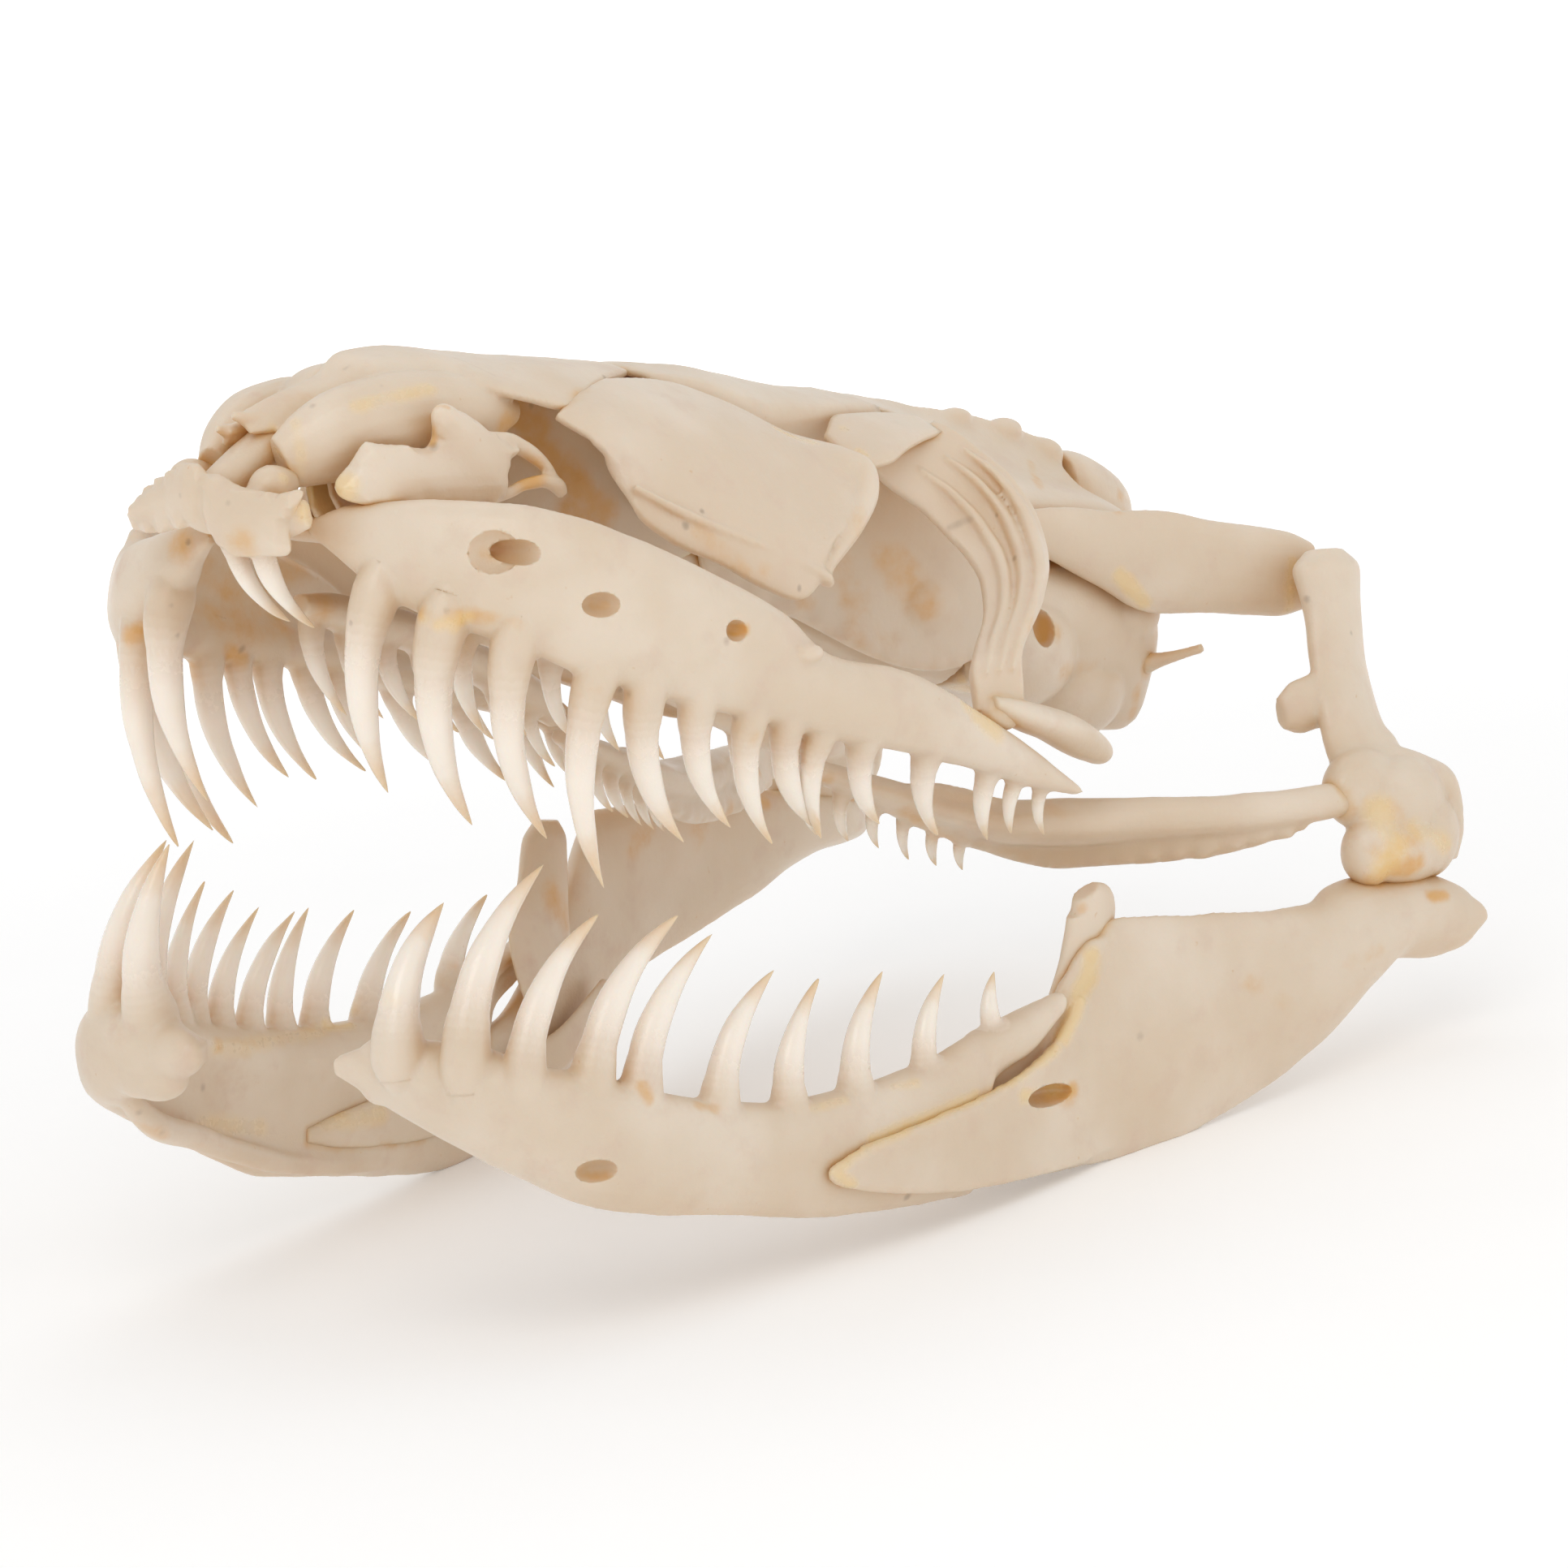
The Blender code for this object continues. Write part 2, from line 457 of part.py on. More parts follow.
# The braincase's half sections, from the middle of the roof down to the middle of the floor
PARIETAL = (
    (4.2, ((0.0, 37.0), (5.6, 36.5), (12.6, 34.8), (11.8, 31.8), (8.0, 28.6), (7.0, 24.0), (0.0, 23.6))),
    (10.0, ((0.0, 36.4), (3.4, 35.6), (10.6, 32.4), (11.6, 29.2), (9.4, 25.4), (9.0, 21.6), (0.0, 21.2))),
    (18.0, ((0.0, 35.1), (1.8, 33.8), (6.8, 30.2), (11.2, 27.4), (12.0, 24.6), (11.6, 21.0), (0.0, 20.4))),
    (26.0, ((0.0, 33.9), (1.4, 32.2), (5.8, 29.0), (11.4, 26.2), (12.2, 23.8), (11.8, 20.8), (0.0, 20.4))),
    (33.0, ((0.0, 32.3), (1.3, 30.6), (5.2, 27.6), (10.8, 25.4), (12.2, 23.2), (11.6, 20.8), (0.0, 20.4))),
    (38.6, ((0.0, 30.6), (1.2, 29.0), (4.6, 26.2), (9.6, 24.2), (11.2, 22.4), (10.6, 20.8), (0.0, 20.4))),
)
OTIC_BLOCK = (
    (17.6, ((0.0, 20.0), (8.0, 20.0), (11.6, 19.6), (12.2, 16.4), (11.4, 12.4), (8.2, 9.2), (0.0, 7.8))),
    (25.0, ((0.0, 20.0), (8.0, 20.0), (12.4, 19.6), (13.6, 15.4), (12.8, 10.6), (9.0, 6.4), (0.0, 5.4))),
    (32.0, ((0.0, 20.0), (8.0, 20.0), (12.2, 19.4), (14.0, 14.8), (13.2, 9.0), (9.8, 4.2), (0.0, 3.8))),
    (38.0, ((0.0, 20.0), (7.0, 20.0), (11.6, 18.6), (13.8, 13.6), (13.0, 7.8), (10.2, 2.6), (0.0, 3.0))),
    (42.0, ((0.0, 20.0), (5.0, 20.0), (9.0, 18.0), (11.4, 13.0), (10.6, 7.6), (7.6, 4.0), (0.0, 5.4))),
    (45.4, ((0.0, 20.0), (3.0, 19.6), (5.0, 17.4), (6.0, 13.4), (5.2, 10.0), (3.4, 8.2), (0.0, 8.0))),
)
OCCIPUT_KNOB = (
    (39.6, 0.0, 25.0, 7.0, 9.2),
    (41.2, 0.0, 24.8, 8.8, 9.4),
    (46.0, 0.0, 22.8, 8.0, 9.2),
    (49.4, 0.0, 20.4, 4.2, 5.4),
)
CONDYLE = (
    (43.0, 0.0, 10.6, 5.6, 5.2),
    (47.0, 0.0, 10.2, 5.0, 4.6),
    (49.4, 0.0, 10.0, 2.6, 2.4),
)
BRAINCASE_FLOOR = (
    (-46.0, 0.0, 25.6, 1.8, 1.8),
    (-32.0, 0.0, 24.8, 3.0, 2.8),
    (-14.0, 0.0, 22.4, 5.4, 4.4),
    (-2.0, 0.0, 18.6, 10.0, 8.6),
    (8.0, 0.0, 14.6, 17.0, 11.2),
    (17.2, 0.0, 12.8, 19.0, 11.6),
)

# The brain's hollow, open at the front, and at the back through the opening for the spinal cord
BRAIN_CAVITY = (
    (-2.0, 0.0, 29.0, 6.0, 5.0),
    (3.0, 0.0, 27.5, 10.0, 7.0),
    (9.0, 0.0, 25.0, 14.0, 12.0),
    (16.0, 0.0, 21.5, 17.6, 17.0),
    (26.0, 0.0, 18.6, 20.0, 19.4),
    (34.0, 0.0, 17.2, 18.6, 17.4),
    (40.0, 0.0, 16.4, 11.0, 10.0),
    (44.0, 0.0, 16.2, 6.0, 5.2),
    (53.0, 0.0, 16.2, 6.4, 5.6),
)

# The right nasal sits a little lower than the left one, and the right septomaxilla further back.
RIGHT_NASAL_DROP = 1.2
RIGHT_SEPTOMAXILLA_BACK = 4.0

# Openings and grooves: middle point and half sizes along the bone, across it and up
MAXILLA_OPENINGS = (
    ((-61.6, 24.6, 28.0), (2.6, 2.2, 1.9)),
    ((-54.9, 29.0, 23.2), (1.7, 1.8, 1.0)),
    ((-40.6, 31.8, 20.1), (1.3, 1.8, 0.9)),
)
DENTARY_OPENING = ((-56.1, 29.4, -25.6), (2.0, 1.8, 1.0))
COMPOUND_OPENING = ((-2.4, 35.0, -25.4), (3.0, 2.0, 0.9))
EAR_OPENING = ((21.4, 14.2, 14.2), (1.4, 2.2, 1.9))

IVORY = (0.86, 0.79, 0.67, 1.0)
BONE_ROUGHNESS = 0.45
SHEET_THICKNESS = 1.5
STOUT_SHEET_THICKNESS = 1.6

# How many sides the rods have, and which way the flat ones lie
SLIM_ROD_SIDES = 6
ROD_SIDES = 8
STOUT_ROD_SIDES = 10
UPWARDS = (0.0, 0.0, 1.0)
INWARDS = (0.0, -1.0, 0.0)

# A tooth bows forward by a share of its length, is a little flatter sideways, and narrows along its length.
TOOTH_BOW = 0.13
TOOTH_FLATNESS = 0.8
TOOTH_SIDES = 5
TOOTH_TAPER = ((0.0, 0.5), (0.5, 0.33), (1.0, 0.03))


def clear_scene():
    for obj in list(bpy.data.objects):
        bpy.data.objects.remove(obj)


def new_collection(name):
    collection = bpy.data.collections.new(name)
    bpy.context.scene.collection.children.link(collection)
    return collection


def new_material(name):
    material = bpy.data.materials.new(name)
    material.use_nodes = True
    shader = material.node_tree.nodes["Principled BSDF"]
    shader.inputs["Base Color"].default_value = IVORY
    shader.inputs["Roughness"].default_value = BONE_ROUGHNESS
    shader.inputs["Metallic"].default_value = 0.0
    return material


def place(point, side):
    """A table's x, out, z as a point in metres over the surface that the jaws rest on."""
    x, out, z = point
    y = side * out
    lifted_x = x * math.cos(SNOUT_LIFT) + z * math.sin(SNOUT_LIFT)
    lifted_z = z * math.cos(SNOUT_LIFT) - x * math.sin(SNOUT_LIFT)
    level_y = y * math.cos(LEVEL_TURN) - lifted_z * math.sin(LEVEL_TURN)
    level_z = y * math.sin(LEVEL_TURN) + lifted_z * math.cos(LEVEL_TURN)
    return Vector((lifted_x + STAND[0], level_y + STAND[1], level_z + STAND[2])) * MM


def shifted(rows, back, down):
    """A bar's stations or one row of a sheet, moved back and down by millimetres."""
    return tuple((x + back, out, z - down, *rest) for x, out, z, *rest in rows)


def object_from_rings(name, rings):
    """A closed body through rings of equally many points, with flat caps."""
    mesh = bmesh.new()
    loops = [[mesh.verts.new(point) for point in ring] for ring in rings]
    count = len(loops[0])
    for low, high in zip(loops, loops[1:]):
        for k in range(count):
            after = (k + 1) % count
            mesh.faces.new((low[k], low[after], high[after], high[k]))
    mesh.faces.new(reversed(loops[0]))
    mesh.faces.new(loops[-1])
    return finish_mesh(name, mesh)


def finish_mesh(name, mesh):
    bmesh.ops.triangulate(mesh, faces=mesh.faces)
    bmesh.ops.recalc_face_normals(mesh, faces=mesh.faces)
    data = bpy.data.meshes.new(name)
    mesh.to_mesh(data)
    mesh.free()
    obj = bpy.data.objects.new(name, data)
    bpy.context.scene.collection.objects.link(obj)
    return obj


def slab(name, stations, section, side):
    """A jaw bone whose outer face follows stations in plan, with one section scaled along it."""
    rings = []
    plan = np.array([station[:2] for station in stations])
    headings = np.gradient(plan, axis=0)
    for station, heading in zip(stations, headings):
        x, out, top, bottom, thickness = station
        heading = heading / np.linalg.norm(heading)
        inward = (heading[1], -heading[0])
        ring = []
        for depth, height in section:
            point = (
                x + inward[0] * depth * thickness,
                out + inward[1] * depth * thickness,
                bottom + height * (top - bottom),
            )
            ring.append(place(point, side))
        rings.append(ring)
    return object_from_rings(name, rings)


def bar(name, stations, side, sides=ROD_SIDES, across=UPWARDS):
    """A rod of oval section. Its width lies square to both the rod and the given direction."""
    rings = []
    path = np.array([station[:3] for station in stations])
    headings = np.gradient(path, axis=0)
    reference = np.array(across)
    for station, heading in zip(stations, headings):
        heading = heading / np.linalg.norm(heading)
        wide_way = np.cross(reference, heading)
        wide_way = wide_way / np.linalg.norm(wide_way)
        tall_way = np.cross(heading, wide_way)
        ring = []
        for k in range(sides):
            angle = 2 * math.pi * (k + 0.5) / sides
            point = (
                np.array(station[:3])
                + wide_way * math.cos(angle) * station[3] / 2
                + tall_way * math.sin(angle) * station[4] / 2
            )
            ring.append(place(point, side))
        rings.append(ring)
    return object_from_rings(name, rings)


def sheet(name, rows, side, thickness=SHEET_THICKNESS):
    """A thin curved plate through rows of points, with half of its thickness to each side."""
    mesh = bmesh.new()
    grid = [[mesh.verts.new(place(point, side)) for point in row] for row in rows]
    for low, high in zip(grid, grid[1:]):
        for k in range(len(low) - 1):
            mesh.faces.new((low[k], low[k + 1], high[k + 1], high[k]))
    bmesh.ops.recalc_face_normals(mesh, faces=mesh.faces)
    data = bpy.data.meshes.new(name)
    mesh.to_mesh(data)
    mesh.free()
    obj = bpy.data.objects.new(name, data)
    bpy.context.scene.collection.objects.link(obj)
    shell = obj.modifiers.new("Shell", "SOLIDIFY")
    shell.thickness = thickness * MM
    shell.offset = 0.0
    return apply_modifiers(obj)


def braincase_part(name, sections):
    """A body through half sections that are mirrored about the middle plane."""
    rings = []
    for x, half in sections:
        right = [place((x, out, z), RIGHT) for out, z in half]
        left = [place((x, out, z), LEFT) for out, z in reversed(half) if out > 0]
        rings.append(right + left)
    return object_from_rings(name, rings)


def tooth(tooth_row, side):
    """One backward-curved tooth: a cone whose middle bows forward."""
    base = np.array(tooth_row[0:3])
    tip = np.array(tooth_row[3:6])
    width = tooth_row[6]
    length = np.linalg.norm(tip - base)
    lean = tip - base
    forward = np.array((-1.0, 0.0, 0.0))
    forward = forward - lean * forward.dot(lean) / length**2
    forward = forward / np.linalg.norm(forward)
    rings = []
    sideways = np.cross(lean / length, forward) * TOOTH_FLATNESS
    for along, radius in TOOTH_TAPER:
        middle = base + lean * along + forward * length * TOOTH_BOW * 4 * along * (1 - along)
        ring = []
        for k in range(TOOTH_SIDES):
            angle = 2 * math.pi * k / TOOTH_SIDES
            point = middle + width * radius * (forward * math.cos(angle) + sideways * math.sin(angle))
            ring.append(place(point, side))
        rings.append(ring)
    return object_from_rings("tooth", rings)


def pit(opening, side):
    """A cutter for an oval opening."""
    middle, half_sizes = opening
    mesh = bmesh.new()
    bmesh.ops.create_icosphere(mesh, subdivisions=1, radius=1.0)
    stretch = Matrix.Diagonal((*(half * MM for half in half_sizes), 1.0))
    bmesh.ops.transform(mesh, matrix=Matrix.Translation(place(middle, side)) @ stretch, verts=mesh.verts)
    return finish_mesh("pit", mesh)


def apply_modifiers(obj):
    """Replaces an object's mesh with its evaluated one, and removes its modifiers."""
    graph = bpy.context.evaluated_depsgraph_get()
    baked = bpy.data.meshes.new_from_object(obj.evaluated_get(graph))
    old = obj.data
    obj.modifiers.clear()
    obj.data = baked
    bpy.data.meshes.remove(old)
    return obj


def boolean(obj, other, operation):
    """Joins or cuts with another object, and removes the other object."""
    change = obj.modifiers.new(operation, "BOOLEAN")
    change.operation = operation
    change.solver = "EXACT"
    change.object = other
    apply_modifiers(obj)
    bpy.data.objects.remove(other)
    return obj


def join(name, pieces):
    """One body from overlapping pieces."""
    whole = pieces[0]
    for piece in pieces[1:]:
        boolean(whole, piece, "UNION")
    whole.name = name
    return whole


def tidy(obj):
    """Joins doubled points and faces in one plane, and drops the crumbs that a cut leaves beside the bone."""
    mesh = bmesh.new()
    mesh.from_mesh(obj.data)
    bmesh.ops.remove_doubles(mesh, verts=mesh.verts, dist=WELD * MM)
    bmesh.ops.dissolve_limit(mesh, angle_limit=FLAT_ANGLE, verts=mesh.verts, edges=mesh.edges)
    bmesh.ops.triangulate(mesh, faces=mesh.faces)
    left = set(mesh.verts)
    islands = []
    while left:
        queue = [left.pop()]
        island = set(queue)
        while queue:
            vertex = queue.pop()
            for edge in vertex.link_edges:
                other = edge.other_vert(vertex)
                if other in left:
                    left.remove(other)
                    island.add(other)
                    queue.append(other)
        islands.append(island)
    islands.sort(key=len)
    for island in islands[:-1]:
        bmesh.ops.delete(mesh, geom=list(island), context="VERTS")
    mesh.to_mesh(obj.data)
    mesh.free()


def trim(obj, neighbour):
    """Cuts an object back to leave the joint gap to its neighbour."""
    swollen = neighbour.copy()
    swollen.data = neighbour.data.copy()
    bpy.context.scene.collection.objects.link(swollen)
    mesh = bmesh.new()
    mesh.from_mesh(swollen.data)
    mesh.normal_update()
    for vertex in mesh.verts:
        vertex.co += vertex.normal * min(vertex.calc_shell_factor(), SHARPEST_SHELL) * JOINT_GAP * MM
    mesh.to_mesh(swollen.data)
    mesh.free()
    boolean(obj, swollen, "DIFFERENCE")
    tidy(obj)


def make_premaxilla():
    pieces = [
        bar("premaxilla", PREMAXILLA_BAR, RIGHT),
        bar("rise", PREMAXILLA_RISE, RIGHT, SLIM_ROD_SIDES),
    ]
    for side in (LEFT, RIGHT):
        pieces.append(bar("nostril", NOSTRIL_BALL, side, SLIM_ROD_SIDES))
        pieces += [tooth(row, side) for row in PREMAXILLARY_TEETH]
    return join("premaxilla", pieces)


def make_nasal(side):
    drop = RIGHT_NASAL_DROP if side == RIGHT else 0.0
    roof = [shifted(row, 0.0, drop) for row in NASAL_ROOF]
    return join("nasal", [sheet("roof", roof, side), bar("capsule", shifted(NASAL_CAPSULE, 0.0, drop), side)])


def make_septomaxilla(side):
    back = RIGHT_SEPTOMAXILLA_BACK if side == RIGHT else 0.0
    wall = [shifted(row, back, 0.0) for row in SEPTOMAXILLA]
    return join("septomaxilla", [
        sheet("wall", wall, side),
        bar("prong", shifted(SEPTOMAXILLA_PRONG, back, 0.0), side, SLIM_ROD_SIDES),
    ])


def make_maxilla(side):
    stations, teeth = MAXILLA, MAXILLARY_TEETH
    if side == RIGHT:
        stations, teeth = RIGHT_MAXILLA, RIGHT_MAXILLARY_TEETH
    bone = slab("maxilla", stations, MAXILLA_SECTION, side)
    if side == LEFT:
        for opening in MAXILLA_OPENINGS:
            boolean(bone, pit(opening, side), "DIFFERENCE")
    return join("maxilla", [bone] + [tooth(row, side) for row in teeth])


def make_palatine(side):
    return join("palatine", [bar("palatine", PALATINE, side)] + [tooth(row, side) for row in PALATINE_TEETH])


def make_pterygoid(side):
    return join("pterygoid", [bar("pterygoid", PTERYGOID, side)] + [tooth(row, side) for row in PTERYGOID_TEETH])


def make_quadrate(side):
    shaft = bar("quadrate", QUADRATE, side, across=INWARDS)
    return join("quadrate", [shaft, bar("knob", QUADRATE_KNOB, side, SLIM_ROD_SIDES)])


def make_dentary(side):
    stations, teeth = DENTARY, DENTARY_TEETH
    if side == RIGHT:
        stations, teeth = RIGHT_DENTARY, RIGHT_DENTARY_TEETH
    bone = slab("dentary", stations, DENTARY_SECTION, side)
    if side == LEFT:
        boolean(bone, pit(DENTARY_OPENING, side), "DIFFERENCE")
    return join("dentary", [bone] + [tooth(row, side) for row in teeth])


def make_compound(side):
    if side == RIGHT:
        return slab("compound", RIGHT_COMPOUND, COMPOUND_SECTION, side)
    bone = slab("compound", COMPOUND, COMPOUND_SECTION, side)
    return boolean(bone, pit(COMPOUND_OPENING, side), "DIFFERENCE")


def hollow(bone):
    """Cuts the brain's hollow out of a bone of the braincase."""
    return boolean(bone, bar("cavity", BRAIN_CAVITY, RIGHT, STOUT_ROD_SIDES), "DIFFERENCE")


def make_otic_block():
    bone = braincase_part("otic", OTIC_BLOCK)
    join("otic", [bone, bar("knob", OCCIPUT_KNOB, RIGHT), bar("condyle", CONDYLE, RIGHT)])
    for side in (LEFT, RIGHT):
        boolean(bone, pit(EAR_OPENING, side), "DIFFERENCE")
    return hollow(bone)


def make_upper_pair(side):
    """The bones of the upper skull that come in left and right pairs."""
    return {
        "maxilla": make_maxilla(side),
        "prefrontal": sheet("prefrontal", PREFRONTAL, side, STOUT_SHEET_THICKNESS),
        "nasal": make_nasal(side),
        "septomaxilla": make_septomaxilla(side),
        "vomer": bar("vomer", VOMER, side, SLIM_ROD_SIDES),
        "frontal": sheet("frontal", FRONTAL, side),
        "supraorbital": sheet("supraorbital", SUPRAORBITAL, side),
        "postorbital": sheet("postorbital", POSTORBITAL, side, STOUT_SHEET_THICKNESS),
        "ectopterygoid": bar("ectopterygoid", ECTOPTERYGOID, side),
        "palatine": make_palatine(side),
        "pterygoid": make_pterygoid(side),
        "supratemporal": bar("supratemporal", SUPRATEMPORAL, side),
        "quadrate": make_quadrate(side),
        "stapes": bar("stapes", STAPES, side, SLIM_ROD_SIDES),
    }


def make_lower_jaw(side):
    coronoid, splenial, angular = CORONOID_BONE, SPLENIAL, ANGULAR
    if side == RIGHT:
        coronoid, splenial, angular = RIGHT_CORONOID, RIGHT_SPLENIAL, RIGHT_ANGULAR
    return {
        "dentary": make_dentary(side),
        "compound": make_compound(side),
        "coronoid": bar("coronoid", coronoid, side, across=INWARDS),
        "splenial": bar("splenial", splenial, side, SLIM_ROD_SIDES),
        "angular": bar("angular", angular, side, SLIM_ROD_SIDES),
    }


# Where two bones meet, the first is cut back from the second.
UPPER_TRIMS = (
    ("septomaxilla", "maxilla"), ("nasal", "prefrontal"), ("frontal", "prefrontal"), ("frontal", "nasal"),
    ("septomaxilla", "nasal"), ("supraorbital", "prefrontal"), ("frontal", "supraorbital"),
    ("postorbital", "supraorbital"), ("prefrontal", "maxilla"), ("postorbital", "maxilla"),
    ("ectopterygoid", "maxilla"), ("postorbital", "ectopterygoid"), ("palatine", "pterygoid"),
    ("vomer", "septomaxilla"), ("supratemporal", "quadrate"), ("pterygoid", "quadrate"),
)
LOWER_TRIMS = (
    ("dentary", "compound"), ("coronoid", "compound"), ("coronoid", "dentary"), ("splenial", "dentary"),
    ("angular", "compound"), ("splenial", "compound"), ("angular", "splenial"), ("coronoid", "angular"),
)


def main():
    clear_scene()
    bones = new_collection("reticulated_python_skull")
    middle = {
        "premaxilla": make_premaxilla(),
        "parietal": hollow(braincase_part("parietal", PARIETAL)),
        "otic_block": make_otic_block(),
        "braincase_floor": hollow(bar("braincase_floor", BRAINCASE_FLOOR, RIGHT, STOUT_ROD_SIDES)),
    }
    trim(middle["otic_block"], middle["parietal"])
    trim(middle["braincase_floor"], middle["otic_block"])
    trim(middle["parietal"], middle["braincase_floor"])
    named = dict(middle)
    for word, side in SIDES.items():
        upper = make_upper_pair(side)
        for first, second in UPPER_TRIMS:
            trim(upper[first], upper[second])
        for first in ("nasal", "vomer", "septomaxilla", "maxilla"):
            trim(upper[first], middle["premaxilla"])
        for first in ("frontal", "postorbital", "supratemporal", "supraorbital", "stapes"):
            for second in ("parietal", "otic_block"):
                trim(upper[first], middle[second])
        lower = make_lower_jaw(side)
        for first, second in LOWER_TRIMS:
            trim(lower[first], lower[second])
        trim(lower["compound"], upper["quadrate"])
        for name, bone in {**upper, **lower}.items():
            named[f"{name}_{word}"] = bone
    for name, bone in named.items():
        tidy(bone)
        bone.name = name
        bone.data.name = name
        bone.data.materials.clear()
        bone.data.materials.append(new_material(f"{name}_bone"))
        bpy.context.scene.collection.objects.unlink(bone)
        bones.objects.link(bone)


main()
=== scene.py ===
"""The reticulated python's skull, dressed: smooth bones, sharp teeth, marks of glue, amber staining and
grime, painted shade in the hollows and on the shaded bones, and soft studio light.

The tables are in millimetres. In a table x runs from the snout to the nape, out is the distance from the
middle plane and z is the height over the gap between the jaws. The animal's left is at -Y.
"""

import math

import bmesh
import bpy
import numpy as np
from mathutils import Matrix, Vector, noise
from mathutils.geometry import delaunay_2d_cdt
from mathutils.bvhtree import BVHTree

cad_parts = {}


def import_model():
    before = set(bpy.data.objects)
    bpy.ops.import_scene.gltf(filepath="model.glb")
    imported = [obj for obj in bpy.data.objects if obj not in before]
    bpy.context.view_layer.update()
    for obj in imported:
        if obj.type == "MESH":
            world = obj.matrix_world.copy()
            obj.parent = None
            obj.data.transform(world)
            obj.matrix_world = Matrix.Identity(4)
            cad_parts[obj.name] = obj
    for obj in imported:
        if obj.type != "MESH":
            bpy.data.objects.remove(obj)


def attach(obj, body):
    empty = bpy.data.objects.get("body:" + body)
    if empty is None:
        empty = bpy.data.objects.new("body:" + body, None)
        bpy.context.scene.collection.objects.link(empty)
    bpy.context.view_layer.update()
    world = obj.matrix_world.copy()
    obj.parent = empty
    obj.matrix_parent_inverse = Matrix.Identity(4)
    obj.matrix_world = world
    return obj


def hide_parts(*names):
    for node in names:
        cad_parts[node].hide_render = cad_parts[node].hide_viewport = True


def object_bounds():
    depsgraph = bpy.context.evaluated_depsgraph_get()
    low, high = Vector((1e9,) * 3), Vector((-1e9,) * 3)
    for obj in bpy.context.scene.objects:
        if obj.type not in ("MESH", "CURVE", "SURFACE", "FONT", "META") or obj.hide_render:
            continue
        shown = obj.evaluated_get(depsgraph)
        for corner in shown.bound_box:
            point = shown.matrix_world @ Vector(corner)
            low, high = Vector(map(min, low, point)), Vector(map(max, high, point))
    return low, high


MM = 0.001
LEFT, RIGHT = -1, 1
SIDES = {"left": LEFT, "right": RIGHT}

# How the tables' frame is turned and shifted to stand on the floor
SNOUT_LIFT = math.radians(7.8)
LEVEL_TURN = math.radians(2.5)
STAND = (8.38, -0.63, 35.27)

# The camera in the tables' frame: its turn round the skull, its height, its distance and its angle of view
CAMERA_TURN = math.radians(-48.0)
CAMERA_HEIGHT = math.radians(7.5)
CAMERA_DISTANCE = 600.0
PIXELS_PER_MM = 13.0
IMAGE_WIDTH = 1932
SENSOR_WIDTH = 36.0

# Sections of the long jaw bones: depth from the outer face and height from the lower edge, as fractions.
MAXILLA_SECTION = (
    (0.55, 1.0), (0.22, 0.9), (0.03, 0.62), (0.0, 0.32), (0.2, 0.05), (0.55, 0.0), (0.9, 0.06), (1.0, 0.24),
    (0.72, 0.5), (0.78, 0.88),
)
DENTARY_SECTION = (
    (0.3, 0.98), (0.06, 0.8), (0.0, 0.5), (0.12, 0.16), (0.45, 0.0), (0.8, 0.1), (0.78, 0.34), (0.8, 0.56),
    (1.0, 0.82), (0.75, 1.0),
)
COMPOUND_SECTION = (
    (0.5, 1.0), (0.2, 0.9), (0.02, 0.6), (0.05, 0.28), (0.35, 0.03), (0.6, 0.0), (0.85, 0.2), (0.92, 0.5),
    (0.85, 0.8), (0.7, 0.97),
)

# x, out, upper edge, lower edge, thickness
MAXILLA = (
    (-68.6, 6.8, 30.1, 28.8, 1.2), (-67.9, 10.2, 31.4, 26.2, 3.2), (-66.6, 14.6, 31.9, 23.2, 4.6),
    (-64.2, 19.6, 32.0, 21.2, 5.0), (-60.8, 24.2, 31.8, 19.5, 5.0), (-56.0, 27.8, 30.6, 17.2, 5.0),
    (-49.0, 30.2, 28.2, 15.0, 5.0), (-41.0, 31.2, 24.9, 12.9, 5.0), (-33.0, 31.7, 21.1, 10.9, 5.0),
    (-27.0, 31.9, 16.8, 9.2, 4.6), (-16.5, 32.0, 14.4, 7.0, 4.4), (-8.0, 32.0, 10.5, 4.9, 4.0),
    (0.0, 31.9, 6.0, 2.4, 3.2), (6.2, 31.5, 1.9, 1.1, 1.2),
)
DENTARY = (
    (-68.2, 8.8, -16.4, -18.0, 1.6), (-67.8, 12.0, -15.2, -19.9, 5.0), (-66.8, 17.0, -14.8, -22.2, 6.0),
    (-64.6, 22.2, -15.0, -24.6, 6.0), (-60.8, 26.4, -16.6, -26.8, 6.0), (-55.0, 29.2, -17.8, -29.3, 6.0),
    (-48.0, 30.9, -19.9, -30.7, 5.6), (-40.0, 31.9, -21.7, -31.7, 5.4), (-33.0, 32.6, -22.6, -32.9, 5.2),
    (-25.0, 33.2, -22.4, -33.7, 5.0), (-17.0, 33.7, -21.4, -33.9, 4.6), (-10.6, 34.0, -19.6, -33.8, 4.2),
    (-9.0, 34.1, -19.0, -24.2, 4.2), (-3.4, 34.4, -17.6, -21.6, 3.4), (0.6, 34.5, -16.2, -18.2, 1.6),
)
